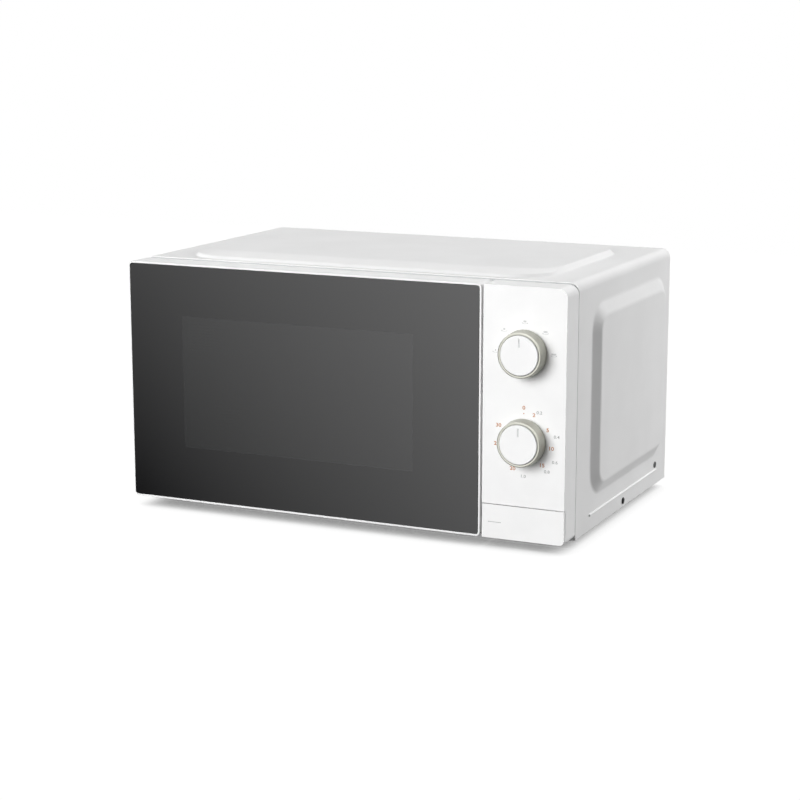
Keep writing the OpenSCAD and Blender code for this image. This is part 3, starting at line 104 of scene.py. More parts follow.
camera_at = (0.8317, -1.8062, 0.5052)
camera_turn = (math.radians(78.451), 0, math.radians(24.868))
bpy.ops.object.camera_add(location=camera_at, rotation=camera_turn)
camera = bpy.context.object
camera.name = "camera"
camera.data.lens = 90.34
camera.data.sensor_width = 36
bpy.context.scene.camera = camera
bpy.context.scene.view_settings.view_transform = "Standard"

# The floor lies a hair below the feet, so that the two never share a plane.
floor_drop = 0.1 * MM
bpy.ops.mesh.primitive_plane_add(size=4, location=(0, 0, -floor_drop))
floor = bpy.context.object
floor.name = "floor"
floor.visible_glossy = False

# White paper: to the camera it is pure white but for a soft painted contact shadow,
# set by how near the oven is; a mid grey for the light that it throws back, and clear from below so that
# the base can be seen.
sweep = bpy.data.materials.new("white_paper_sweep")
sweep.use_nodes = True
sweep.node_tree.nodes.clear()
lit = add_node(sweep.node_tree, "ShaderNodeLightPath")
bounce = add_node(sweep.node_tree, "ShaderNodeBsdfDiffuse", {"Color": linear("848484")})
shadow_reach = 34 * MM
nearby = add_node(sweep.node_tree, "ShaderNodeAmbientOcclusion", {"Distance": shadow_reach},
                  samples=12)
# Painted contact shadow: dark grey right under the oven, fading to white within the shadow's reach.
painted_contact_shadow = add_node(sweep.node_tree, "ShaderNodeValToRGB", links={"Fac": nearby.outputs["AO"]})
for place, shade in ((0.0, "181818"), (0.08, "9A9A9A"), (0.28, "DADADA"), (0.65, "FFFFFF")):
    stop = painted_contact_shadow.color_ramp.elements.new(place)
    stop.color = linear(shade)
bright = add_node(sweep.node_tree, "ShaderNodeEmission", {"Strength": 1.02},
                  {"Color": painted_contact_shadow.outputs[0]})
either = add_node(sweep.node_tree, "ShaderNodeMixShader", links={
    0: lit.outputs["Is Camera Ray"], 1: bounce.outputs[0], 2: bright.outputs[0]})
under = add_node(sweep.node_tree, "ShaderNodeNewGeometry")
gone = add_node(sweep.node_tree, "ShaderNodeBsdfTransparent")
one_sided = add_node(sweep.node_tree, "ShaderNodeMixShader", links={
    0: under.outputs["Backfacing"], 1: either.outputs[0], 2: gone.outputs[0]})
add_node(sweep.node_tree, "ShaderNodeOutputMaterial", links={"Surface": one_sided.outputs[0]})
floor.data.materials.append(sweep)

middle = (0, 0, 0.14)
softbox("key", (-1.2, -2.9, 1.2), middle, (2.1, 2.1), power=113)
softbox("top", (0.0, 0.1, 2.4), middle, (2.0, 2.0), power=0.6)
softbox("fill", (1.9, 2.1, 1.0), middle, (1.4, 1.4), power=84)

# The walls give a dim even light, are white to the camera, and in gloss they
# brighten from the horizon upwards.
walls_light = 0.17
world = bpy.data.worlds.new("studio_walls")
bpy.context.scene.world = world
world.use_nodes = True
world.node_tree.nodes.clear()
seen = add_node(world.node_tree, "ShaderNodeLightPath")
way = add_node(world.node_tree, "ShaderNodeTexCoord")
rise = add_node(world.node_tree, "ShaderNodeSeparateXYZ", links={0: way.outputs["Generated"]})
gloss = add_node(world.node_tree, "ShaderNodeMapRange",
                 {"From Min": 0.23, "From Max": 0.34, "To Min": 0.35, "To Max": 2.2},
                 {"Value": rise.outputs["Z"]})
plain = add_node(world.node_tree, "ShaderNodeMix", {"A": walls_light},
                 {0: seen.outputs["Is Glossy Ray"], "B": gloss.outputs[0]})
level = add_node(world.node_tree, "ShaderNodeMath", operation="MAXIMUM",
                 links={0: plain.outputs[0], 1: seen.outputs["Is Camera Ray"]})
walls = add_node(world.node_tree, "ShaderNodeBackground", {"Color": (1, 1, 1, 1)},
                 {"Strength": level.outputs[0]})
add_node(world.node_tree, "ShaderNodeOutputWorld", links={"Surface": walls.outputs[0]})

# The card's light grades between these places. The card goes on past them by the
# spill, where its light stays level.
card_x = (-2.04, -1.04)
card_y = -3.0
card_z = (-0.83, -0.2)
spill = 3
bpy.ops.mesh.primitive_plane_add(
    size=1, location=(sum(card_x) / 2, card_y, sum(card_z) / 2), rotation=(math.radians(90), 0, 0))
card = bpy.context.object
card.name = "graded_card"
card.scale = (card_x[1] - card_x[0] + spill, card_z[1] - card_z[0] + spill, 1)
card.visible_camera = False
card.visible_diffuse = False
card.visible_shadow = False
card.visible_transmission = False
graded = bpy.data.materials.new("graded_card_light")
graded.use_nodes = True
graded.node_tree.nodes.clear()
place = add_node(graded.node_tree, "ShaderNodeNewGeometry")
split = add_node(graded.node_tree, "ShaderNodeSeparateXYZ", links={0: place.outputs["Position"]})
across = add_node(graded.node_tree, "ShaderNodeMapRange",
                  {"From Min": card_x[0], "From Max": card_x[1], "To Min": 0.05, "To Max": 1.75},
                  {"Value": split.outputs["X"]})
upward = add_node(graded.node_tree, "ShaderNodeMapRange",
                  {"From Min": card_z[0], "From Max": card_z[1], "To Min": 0.0, "To Max": 1.05},
                  {"Value": split.outputs["Z"]})
both = add_node(graded.node_tree, "ShaderNodeMath", operation="ADD",
                links={0: across.outputs[0], 1: upward.outputs[0]})
glow = add_node(graded.node_tree, "ShaderNodeEmission", links={"Strength": both.outputs[0]})
add_node(graded.node_tree, "ShaderNodeOutputMaterial", links={"Surface": glow.outputs[0]})
card.data.materials.append(graded)

# Outer cabinet. One sheet of 0.8 mm steel, bent into a U over the oven, with a
# raised field pressed into the top and each side, and painted white by powder.
# Its back and lower edges are turned in as flanges that screws go through.


def start_material(name, colour, roughness, **values):
    """A material with one main shader, and its colour and finish as the real surface has them."""
    material = bpy.data.materials.new(name)
    material.use_nodes = True
    tree = material.node_tree
    tree.nodes.clear()
    shader = add_node(tree, "ShaderNodeBsdfPrincipled",
                      {"Base Color": linear(colour), "Roughness": roughness,
                       **{key.replace("_", " "): value for key, value in values.items()}})
    add_node(tree, "ShaderNodeOutputMaterial", links={"Surface": shader.outputs[0]})
    where = add_node(tree, "ShaderNodeTexCoord").outputs["Object"]
    return material, tree, shader, where


def tint(tree, shader, where, colours, patch):
    """Soft patches between two colours, of a size in metres."""
    cloud = add_node(tree, "ShaderNodeTexNoise", {"Scale": 1 / patch, "Detail": 3}, {"Vector": where})
    ramp = add_node(tree, "ShaderNodeValToRGB", links={"Fac": cloud.outputs[0]})
    for stop, place, colour in zip(ramp.color_ramp.elements, (0.35, 0.65), colours):
        stop.position = place
        stop.color = linear(colour)
    tree.links.new(ramp.outputs[0], shader.inputs["Base Color"])


def relief(tree, shader, height, depth):
    """Bump of a real depth in metres from a pattern's height."""
    bump = add_node(tree, "ShaderNodeBump", {"Strength": 1, "Distance": depth}, {"Height": height})
    tree.links.new(bump.outputs[0], shader.inputs["Normal"])


def powder_coat(name, colours, roughness, peel=1.6 * MM, depth=0.006 * MM):
    """Powder coat on steel: an even colour, a satin sheen and the faint ripple of orange peel."""
    material, tree, shader, where = start_material(name, colours[0], roughness, IOR=1.5)
    tint(tree, shader, where, colours, 60 * MM)
    ripple = add_node(tree, "ShaderNodeTexNoise", {"Scale": 1 / peel, "Detail": 2, "Roughness": 0.4},
                      {"Vector": where})
    relief(tree, shader, ripple.outputs[0], depth)
    rub = add_node(tree, "ShaderNodeMapRange", {"To Min": roughness - 0.03, "To Max": roughness + 0.05},
                   {"Value": ripple.outputs[0]})
    tree.links.new(rub.outputs[0], shader.inputs["Roughness"])
    return material


def select_where(piece, kind, test):
    """In edit mode, selects just the verts, edges or faces that pass a test."""
    bpy.ops.mesh.select_mode(type={"verts": "VERT", "edges": "EDGE", "faces": "FACE"}[kind])
    bpy.ops.mesh.select_all(action="DESELECT")
    mesh = bmesh.from_edit_mesh(piece.data)
    for element in getattr(mesh, kind):
        if not element.hide and test(element):
            element.select_set(True)
    mesh.select_flush_mode()
    bmesh.update_edit_mesh(piece.data)


def even(a, b, reach=0.02 * MM):
    """True where two lengths agree."""
    return abs(a - b) < reach


def level_edge(edge, axis):
    """True for an edge whose two ends are at one height along an axis."""
    return even(edge.verts[0].co[axis], edge.verts[1].co[axis])


def finish_piece(piece, body, material, slot, *nodes):
    """Gives a piece its finish and its body, and hides the nodes that it stands for."""
    piece.data.materials.clear()
    piece.data.materials.append(material)
    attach(piece, body)
    if nodes:
        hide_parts(*nodes)
    piece.select_set(False)
    return piece


def apply_modifier(piece, kind, **settings):
    """Adds a modifier, sets it and applies it."""
    bpy.context.view_layer.objects.active = piece
    modifier = piece.modifiers.new(kind.lower(), kind)
    for key, value in settings.items():
        setattr(modifier, key, value)
    bpy.ops.object.modifier_apply(modifier=modifier.name)


def smooth_faces(piece, angle=35):
    """Smooth shading that keeps the large flats flat and the sharp edges sharp."""
    bpy.ops.object.select_all(action="DESELECT")
    piece.select_set(True)
    bpy.context.view_layer.objects.active = piece
    bpy.ops.object.shade_smooth_by_angle(angle=math.radians(angle))
    apply_modifier(piece, "WEIGHTED_NORMAL", keep_sharp=True, weight=60)


def pressed_field(piece, axis, sign, level, low, high, corner, margin, steps):
    """A rounded field, pressed out of a flat sheet in steps of (inset, rise), in edit mode."""
    others = [i for i in range(3) if i != axis]
    centre = Vector((0, 0, 0))
    centre[axis] = level
    size = Vector((1, 1, 1))
    for i, a, b in zip(others, low, high):
        centre[i] = (a + b) / 2
        size[i] = b - a + 2 * margin
    turn = (0, sign * math.radians(90), 0) if axis == 0 else (0, 0, 0)
    bpy.ops.mesh.primitive_plane_add(size=1, location=centre, rotation=turn)
    bpy.ops.transform.resize(value=size, center_override=centre)
    bpy.ops.mesh.bevel(offset=corner + margin, segments=8, affect="VERTICES")
    bpy.ops.mesh.select_mode(type="FACE")
    bpy.ops.mesh.inset(thickness=margin, depth=0)
    for inset, rise in steps:
        bpy.ops.mesh.inset(thickness=inset, depth=rise)


def sheet_around(piece, axis, level, low, high):
    """The flat sheet between a rectangle and the pressed shapes inside it."""
    others = [i for i in range(3) if i != axis]
    centre = Vector((0, 0, 0))
    centre[axis] = level
    size = Vector((1, 1, 1))
    for i, a, b in zip(others, low, high):
        centre[i] = (a + b) / 2
        size[i] = b - a
    turn = (0, math.radians(90), 0) if axis == 0 else (0, 0, 0)
    bpy.ops.mesh.primitive_plane_add(size=1, location=centre, rotation=turn)
    bpy.ops.transform.resize(value=size, center_override=centre)
    bpy.ops.mesh.delete(type="ONLY_FACE")
    select_where(piece, "edges", lambda e: len(e.link_faces) < 2 and level_edge(e, axis)
                 and even(e.verts[0].co[axis], level))
    bpy.ops.mesh.fill(use_beauty=True)
    bpy.ops.mesh.select_all(action="SELECT")
    bpy.ops.mesh.hide()


shell_lo, shell_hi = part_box("outer_cabinet")
sheet = 0.8 * MM
bend = 9 * MM
flange = 12 * MM
side_rise = 6 * MM
top_rise = 5 * MM
side_x = shell_hi.x - side_rise
roof_z = shell_hi.z - top_rise
front_y, rear_y, low_z = shell_lo.y, shell_hi.y, shell_lo.z
fold_radius = 1.2 * MM

# The top's field: its margins and corner, its two steps as (inset, rise), and the
# long slope at its front, which comes of pushing the plateau's front edge back.
top_margin = 36 * MM
top_front = 5.5 * MM
top_corner = 42 * MM
top_steps = [(3 * MM, 3 * MM), (2 * MM, 2 * MM)]
slope_push = 25.5 * MM
slope_zone = 53 * MM
top_edge = 1.1 * MM
flat_strip = 4 * MM

# Each side's field and the bead below it, with the margins of both.
side_front = 36.5 * MM
side_back = 17 * MM
side_low = 32 * MM
side_high = 25 * MM
side_corner = 27 * MM
side_slope = 12 * MM
side_edge = 1.8 * MM
bead_back = 32 * MM
bead_low = low_z + 14 * MM
bead_high = low_z + 17 * MM
bead_end = 1.2 * MM
bead_strip = 0.2 * MM
bead_steps = [(0.3 * MM, 0.7 * MM), (0.35 * MM, 0.45 * MM), (0.4 * MM, 0.25 * MM)]
bead_zone = low_z + 22 * MM

bpy.ops.mesh.primitive_plane_add(size=1)
cabinet = bpy.context.object
cabinet.name = "cabinet_wrap"
bpy.ops.object.mode_set(mode="EDIT")
bpy.ops.mesh.delete(type="VERT")
pressed_field(cabinet, 2, 1, roof_z, (top_margin - side_x, front_y + top_front),
              (side_x - top_margin, rear_y - top_margin), top_corner, flat_strip, top_steps)
select_where(cabinet, "verts",
             lambda v: even(v.co.z, roof_z + top_rise) and v.co.y < front_y + slope_zone)
bpy.ops.transform.translate(value=(0, slope_push, 0))
select_where(cabinet, "edges", lambda e: level_edge(e, 2) and len(e.link_faces) == 2
             and e.calc_face_angle(0) > math.radians(2))
bpy.ops.mesh.bevel(offset=top_edge, segments=3, affect="EDGES")
sheet_around(cabinet, 2, roof_z, (-side_x + bend, front_y), (side_x - bend, rear_y))
for sign in (-1, 1):
    pressed_field(cabinet, 0, sign, sign * side_x, (front_y + side_front, low_z + side_low),
                  (rear_y - side_back, roof_z - side_high), side_corner, flat_strip,
                  [(side_slope, side_rise)])
    select_where(cabinet, "edges", lambda e: level_edge(e, 0) and len(e.link_faces) == 2
                 and e.calc_face_angle(0) > math.radians(5))
    bpy.ops.mesh.bevel(offset=side_edge, segments=4, affect="EDGES")
    sheet_around(cabinet, 0, sign * side_x, (front_y, bead_zone), (rear_y, roof_z - bend))
    pressed_field(cabinet, 0, sign, sign * side_x, (front_y + side_front, bead_low),
                  (rear_y - bead_back, bead_high), bead_end, bead_strip, bead_steps)
    sheet_around(cabinet, 0, sign * side_x, (front_y, low_z), (rear_y, bead_zone))
bpy.ops.mesh.reveal()
for sign in (-1, 1):
    select_where(cabinet, "edges", lambda e: level_edge(e, 2) and level_edge(e, 0)
                 and even(e.verts[0].co.z, roof_z - bend) and even(e.verts[0].co.x, sign * side_x))
    bpy.ops.mesh.spin(steps=8, angle=sign * math.radians(90), axis=(0, 1, 0),
                      center=(sign * (side_x - bend), 0, roof_z - bend))
bpy.ops.mesh.select_all(action="SELECT")
bpy.ops.mesh.remove_doubles(threshold=0.01 * MM)
bpy.ops.mesh.normals_make_consistent(inside=False)
select_where(cabinet, "edges",
             lambda e: len(e.link_faces) == 1 and all(even(v.co.y, rear_y) for v in e.verts))
bpy.ops.mesh.extrude_edges_move()
side_h = roof_z - low_z
bpy.ops.transform.resize(value=((side_x - flange) / side_x, 1, (side_h - flange) / side_h),
                         center_override=(0, rear_y, low_z))
for sign in (-1, 1):
    select_where(cabinet, "edges", lambda e: len(e.link_faces) == 1
                 and all(even(v.co.z, low_z) and even(v.co.x, sign * side_x) for v in e.verts))
    bpy.ops.mesh.extrude_edges_move(TRANSFORM_OT_translate={"value": (-sign * flange, 0, 0)})
select_where(cabinet, "edges",
             lambda e: len(e.link_faces) == 2 and e.calc_face_angle(0) > math.radians(80)
             and (all(even(v.co.y, rear_y) for v in e.verts)
                  or all(even(v.co.z, low_z) for v in e.verts)))
bpy.ops.mesh.bevel(offset=fold_radius, segments=3, affect="EDGES")
bpy.ops.mesh.select_all(action="SELECT")
bpy.ops.mesh.normals_make_consistent(inside=False)
bpy.ops.object.mode_set(mode="OBJECT")
roof_faces = [f for f in cabinet.data.polygons if f.center.z > roof_z + 0.9 * top_rise]
if sum(f.normal.z * f.area for f in roof_faces) < 0:
    cabinet.data.flip_normals()
apply_modifier(cabinet, "SOLIDIFY", thickness=sheet, offset=-1)
smooth_faces(cabinet, 40)

# White polyester powder, sprayed and baked: a clean satin white that blurs what
# it mirrors, and a ripple that breaks up long highlights.
white_coat = powder_coat("white_powder_coat", ("EDEDED", "E9E9E9"), 0.36)
finish_piece(cabinet, "oven", white_coat, "white_paint", "outer_cabinet")

# Door frame, control panel and open button. Each is one moulding of white ABS
# with a fine satin grain, and its outer edges are rounded by the mould.


def moulded(name, colours, roughness=0.4, grain=0.5 * MM, depth=0.004 * MM, patch=25 * MM):
    """Moulded plastic: a nearly even colour, and the fine sparked grain of the mould."""
    material, tree, shader, where = start_material(name, colours[0], roughness, IOR=1.53)
    tint(tree, shader, where, colours, patch)
    spark = add_node(tree, "ShaderNodeTexVoronoi", {"Scale": 1 / grain}, {"Vector": where})
    relief(tree, shader, spark.outputs["Distance"], depth)
    return material


def softened(node, name, body, edge, material, slot, segments=2, angle=38):
    """A node's shape as one skin, with its sharp edges rounded as a mould or press leaves them."""
    bpy.ops.object.select_all(action="DESELECT")
    original = frame["nodes"][node]
    original.select_set(True)
    bpy.context.view_layer.objects.active = original
    bpy.ops.object.duplicate()
    piece = bpy.context.object
    piece.name = name
    del piece["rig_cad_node"]
    bpy.ops.object.mode_set(mode="EDIT")
    bpy.ops.mesh.select_all(action="SELECT")
    bpy.ops.mesh.remove_doubles(threshold=0.005 * MM)
    bpy.ops.mesh.dissolve_limited(angle_limit=math.radians(0.4))
    bpy.ops.object.mode_set(mode="OBJECT")
    if edge:
        apply_modifier(piece, "BEVEL", width=edge, segments=segments, limit_method="ANGLE",
                       angle_limit=math.radians(angle), use_clamp_overlap=True)
    smooth_faces(piece, 40)
    return finish_piece(piece, body, material, slot, node)


# White ABS from a sparked mould: a slightly brighter and smoother white than the
# cabinet's. A real grain is near 0.1 mm; at 0.5 mm it is coarse enough to show.
white_abs = moulded("white_abs", ("F4F4F4", "F1F1F1"), 0.34)
softened("door_frame", "door_moulding", "door", 0.6 * MM, white_abs, "white_plastic", 3)
softened("control_panel", "panel_moulding", "oven", 0.9 * MM, white_abs, "white_plastic", 3)
softened("open_button", "button_moulding", "open_button", 0.7 * MM, white_abs, "white_plastic", 3)

# Door glass. A 3.2 mm plate of grey tinted float glass, with a ground edge. A
# black enamel border is printed on its back, and the window in it stays clear.

glass_lo, glass_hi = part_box("door_glass")
window_x = (-169 * MM, 77 * MM)
window_z = (65 * MM, 195 * MM)


def box_start(name, low, high):
    """A block between two corners, left in edit mode to be shaped."""
    low, high = Vector(low), Vector(high)
    bpy.ops.object.select_all(action="DESELECT")
    bpy.ops.mesh.primitive_cube_add(size=1, location=(0, 0, 0))
    piece = bpy.context.object
    piece.name = name
    bpy.ops.object.mode_set(mode="EDIT")
    bpy.ops.mesh.select_all(action="SELECT")
    bpy.ops.transform.resize(value=high - low, center_override=(0, 0, 0))
    bpy.ops.transform.translate(value=(low + high) / 2)
    return piece


door_glass = box_start("tinted_glass_plate", glass_lo, glass_hi)
# Each corner of the plate, with its radius in millimetres.
for side_at, end_at, radius in ((glass_lo.x, glass_hi.z, 4.0), (glass_lo.x, glass_lo.z, 2.0),
                                (glass_hi.x, glass_hi.z, 1.2), (glass_hi.x, glass_lo.z, 1.2)):
    select_where(door_glass, "edges", lambda e: all(
        even(v.co.x, side_at) and even(v.co.z, end_at) for v in e.verts))
    bpy.ops.mesh.bevel(offset=radius * MM, segments=6, affect="EDGES")
select_where(door_glass, "edges", lambda e: e.calc_face_angle(0) > math.radians(60)
             and all(even(v.co.y, glass_lo.y) for v in e.verts))
ground_edge = 0.4 * MM
bpy.ops.mesh.bevel(offset=ground_edge, segments=2, affect="EDGES")
for axis, cuts in ((0, window_x), (2, window_z)):
    for cut in cuts:
        point, normal = Vector((0, 0, 0)), Vector((0, 0, 0))
        point[axis], normal[axis] = cut, 1
        bpy.ops.mesh.select_all(action="SELECT")
        bpy.ops.mesh.bisect(plane_co=point, plane_no=normal)
bpy.ops.object.mode_set(mode="OBJECT")


def tinted_float(name, colour, clear):
    """Float glass, flat and glossy. The tint shows where light passes, and enamel backs the rest."""
    material, tree, shader, where = start_material(name, colour, 0.03, IOR=1.52,
                                                   Transmission_Weight=clear)
    haze = add_node(tree, "ShaderNodeTexNoise", {"Scale": 1 / (90 * MM)}, {"Vector": where})
    wiped = add_node(tree, "ShaderNodeMapRange", {"To Min": 0.02, "To Max": 0.06},
                     {"Value": haze.outputs[0]})
    tree.links.new(wiped.outputs[0], shader.inputs["Roughness"])
    return material


# Black enamel behind float glass: a deep even black under a sharp, clean gloss.
backed_glass = tinted_float("enamelled_float_glass", "161617", 0)
finish_piece(door_glass, "door", backed_glass, "front_glass", "door_glass")

# Grey float glass, clear in the window: the screen behind it shows as a dim field.
door_glass.data.materials.append(tinted_float("grey_float_glass", "4C4D4E", 0.8))
for face in door_glass.data.polygons:
    inside = window_x[0] < face.center.x < window_x[1] and window_z[0] < face.center.z < window_z[1]
    face.material_index = int(inside and abs(face.normal.y) > 0.9)
smooth_faces(door_glass)

# Markings. Printed on the panel and the button in orange and grey: minutes and
# weights around the timer, plain power signs around the other dial, and a dash.

panel_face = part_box("control_panel")[0].y
timer_lo, timer_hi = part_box("timer_cap")
power_lo, power_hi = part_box("power_cap")
dial_x = (timer_lo.x + timer_hi.x) / 2
timer_z = (timer_lo.z + timer_hi.z) / 2
power_z = (power_lo.z + power_hi.z) / 2
ink = 0.05 * MM


def printed(name, colour):
    """Pad printing: an even ink, a little glossier than the plastic, with a slight grain."""
    material, tree, shader, where = start_material(name, colour, 0.3)
    grain = add_node(tree, "ShaderNodeTexNoise", {"Scale": 1 / (0.4 * MM)}, {"Vector": where})
    relief(tree, shader, grain.outputs[0], 0.003 * MM)
    return material


def figure(words, x, z, height, weight=0.05 * MM):
    """A number, set flat on the panel's face."""
    bpy.ops.object.text_add()
    text = bpy.context.object
    text.data.body = words
    text.data.size = height * 1.37
    text.data.offset = weight
    text.data.align_x = "CENTER"
    text.data.align_y = "CENTER"
    text.data.extrude = ink
    text.scale.x = 1.16
    bpy.ops.object.convert(target="MESH")
    text.rotation_euler = (math.radians(90), 0, 0)
    text.location = (x, panel_face, z)
    bpy.ops.object.transform_apply()
    return text


def stroke(x, z, width, height, face=None):
    """A short printed bar with clipped corners."""
    face = panel_face if face is None else face
    bar = box_start("stroke", (x - width / 2, face - ink, z - height / 2),
                    (x + width / 2, face + ink, z + height / 2))
    select_where(bar, "edges", lambda e: level_edge(e, 0) and level_edge(e, 2))
    bpy.ops.mesh.bevel(offset=min(width, height) * 0.3, segments=2, affect="EDGES")
    bpy.ops.object.mode_set(mode="OBJECT")
    return bar


def dish(x, z, width, line=0.55 * MM):
    """A printed bowl: the lower half of a thin ring, a little flattened."""
    bpy.ops.object.select_all(action="DESELECT")
    bpy.ops.mesh.primitive_circle_add(
        vertices=24, radius=width / 2, fill_type="NGON",
        location=(x, panel_face + ink, z), rotation=(math.radians(90), 0, 0))
    bpy.ops.object.transform_apply()
    bowl = bpy.context.object
    bpy.ops.object.mode_set(mode="EDIT")
    bpy.ops.mesh.select_mode(type="FACE")
    bpy.ops.mesh.select_all(action="SELECT")
    bpy.ops.mesh.inset(thickness=line)
    bpy.ops.mesh.delete(type="FACE")
    bpy.ops.mesh.select_all(action="SELECT")
    bpy.ops.mesh.bisect(plane_co=(x, 0, z), plane_no=(0, 0, 1), clear_outer=True)
    bpy.ops.mesh.select_all(action="SELECT")
    bpy.ops.transform.resize(value=(1, 1, 0.4), center_override=(x, 0, z))
    bpy.ops.mesh.extrude_region_move(TRANSFORM_OT_translate={"value": (0, -2 * ink, 0)})
    bpy.ops.mesh.select_all(action="SELECT")
    bpy.ops.mesh.normals_make_consistent(inside=False)
    bpy.ops.object.mode_set(mode="OBJECT")
    return bowl


def join_as(name, parts, body, material, slot):
    """Joins parts into one named piece."""
    bpy.ops.object.select_all(action="DESELECT")
    for part in parts:
        part.select_set(True)
    bpy.context.view_layer.objects.active = parts[0]
    bpy.ops.object.join()
    bpy.ops.object.transform_apply()
    joined = bpy.context.object
    joined.name = name
    finish_piece(joined, body, material, slot)


def around(centre_z, radius, degrees):
    """A place beside a dial, clockwise from its top."""
    turn = math.radians(degrees)
    return dial_x + radius * math.sin(turn), centre_z + radius * math.cos(turn)


# Pad-printed inks, each one flat tone: burnt orange, mid grey and a paler grey.
orange_ink = printed("orange_ink", "B27039")
grey_ink = printed("grey_ink", "9C9D9D")
pale_ink = printed("pale_grey_ink", "A2A4A4")

# Each number round the timer, with its bearing in degrees and its distance from
# the dial's axis in millimetres.
minutes = {"0": (0, 31.6), "2": (21, 27.5), "5": (61, 26.6), "10": (98, 27.0), "15": (138, 27.0),
           "20": (202, 27.4), "25": (262, 26.3), "30": (299, 28.0)}
minute_h, weight_h = 3.5 * MM, 2.9 * MM
dot = 1.1 * MM
marks = [figure(words, *around(timer_z, radius * MM, degrees), minute_h, 0.09 * MM)
         for words, (degrees, radius) in minutes.items()]
start_dot = stroke(*around(timer_z, 26.5 * MM, 0), dot, dot)
join_as("minute_marks", marks + [start_dot], "oven", orange_ink, "white_plastic")
weights = {"0.2": (28, 32.0), "0.4": (77, 32.8), "0.6": (118, 34.6), "0.8": (138, 34.4),
           "1.0": (180, 31.9)}
marks = [figure(words, *around(timer_z, radius * MM, degrees), weight_h, 0.04 * MM)
         for words, (degrees, radius) in weights.items()]
join_as("weight_marks", marks, "oven", grey_ink, "white_plastic")
signs = []
sign_r, bowl_w, stroke_step = 28 * MM, 6 * MM, 0.95 * MM
for count, degrees in enumerate((-90, -45, 0, 45, 90), 1):
    sign_x, sign_z = around(power_z, sign_r, degrees)
    signs.append(dish(sign_x, sign_z, bowl_w))
    for i in range(count):
        stroke_x = sign_x + (i - (count - 1) / 2) * stroke_step
        signs.append(stroke(stroke_x, sign_z + 1.1 * MM, 0.5 * MM, 1.7 * MM))
join_as("power_marks", signs, "oven", pale_ink, "white_plastic")
button_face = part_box("open_button")[0].y
dash_x, dash_z = 159.6 * MM, 26 * MM
dash = stroke(dash_x, dash_z, 13 * MM, 0.5 * MM, button_face)
join_as("button_dash", [dash], "open_button", pale_ink, "white_plastic")

# Dials. A white ABS cap with a pointer line sits in a turned skirt, which is
# plated a pale champagne with a satin face, and slides on the switch's shaft.


def plated(name, colours, roughness, scratch=0.35 * MM, depth=0.002 * MM, stretch=(1, 1, 1)):
    """Plated or bare metal: a cloudy tone, and fine marks along the way that it was worked."""
    material, tree, shader, where = start_material(name, colours[0], roughness, Metallic=1)
    tint(tree, shader, where, colours, 14 * MM)
    along = add_node(tree, "ShaderNodeMapping", {"Scale": stretch}, {"Vector": where})
    marks = add_node(tree, "ShaderNodeTexNoise", {"Scale": 1 / scratch, "Detail": 2},
                     {"Vector": along.outputs[0]})
    relief(tree, shader, marks.outputs[0], depth)
    worn = add_node(tree, "ShaderNodeMapRange", {"To Min": roughness - 0.06, "To Max": roughness + 0.08},
                    {"Value": marks.outputs[0]})
    tree.links.new(worn.outputs[0], shader.inputs["Roughness"])
    return material


# Champagne plating, brushed round: a pale grey-gold metal with a soft, dull shine.
# Brush marks are finer than 0.1 mm, so on all the metals they are drawn coarser.
champagne = plated("champagne_plating", ("B7B7AE", "AEAEA5"), 0.42, stretch=(1, 6, 1))

# Drawn steel: a plain mid-grey metal with a fairly sharp shine.
bright_bar = plated("drawn_steel", ("9A9A9A", "8C8C8D"), 0.3)
skirt_lo, skirt_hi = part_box("timer_skirt")
foot_r = (skirt_hi.x - skirt_lo.x) / 2
cap_r = (timer_hi.x - timer_lo.x) / 2


def skirt(name, centre_z):
    """A turned skirt: rings extruded one from the next, each given as (radius, depth)."""
    foot_y, rim_y = skirt_hi.y, skirt_lo.y
    outline = [(foot_r, foot_y - 1.2 * MM), (foot_r - 0.25 * MM, foot_y - 3.5 * MM),
               (cap_r + 2.75 * MM, rim_y + 1.4 * MM), (cap_r + 2.6 * MM, rim_y + 0.5 * MM),
               (cap_r + 2.1 * MM, rim_y + 0.06 * MM), (cap_r + 1.5 * MM, rim_y),
               (cap_r + 0.5 * MM, rim_y + 0.1 * MM), (cap_r + 0.1 * MM, rim_y + 0.6 * MM),
               (cap_r - 0.3 * MM, foot_y - 2 * MM), (cap_r - 0.5 * MM, foot_y)]
    bpy.ops.object.select_all(action="DESELECT")
    last_r, last_y = foot_r - 0.3 * MM, foot_y
    bpy.ops.mesh.primitive_circle_add(vertices=96, radius=last_r, rotation=(math.radians(90), 0, 0),
                                      location=(dial_x, last_y, centre_z))
    bpy.ops.object.transform_apply()
    turned = bpy.context.object
    turned.name = name
    bpy.ops.object.mode_set(mode="EDIT")
    bpy.ops.mesh.select_mode(type="EDGE")
    bpy.ops.mesh.select_all(action="SELECT")
    for ring_r, ring_y in outline:
        bpy.ops.mesh.extrude_edges_move(TRANSFORM_OT_translate={"value": (0, ring_y - last_y, 0)})
        bpy.ops.transform.resize(value=(ring_r / last_r, 1, ring_r / last_r),
                                 center_override=(dial_x, ring_y, centre_z))
        last_r, last_y = ring_r, ring_y
    select_where(turned, "edges", lambda e: len(e.link_faces) == 1)
    bpy.ops.mesh.bridge_edge_loops()
    bpy.ops.mesh.select_all(action="SELECT")
    bpy.ops.mesh.normals_make_consistent(inside=False)
    bpy.ops.object.mode_set(mode="OBJECT")
    smooth_faces(turned, 45)
    return turned


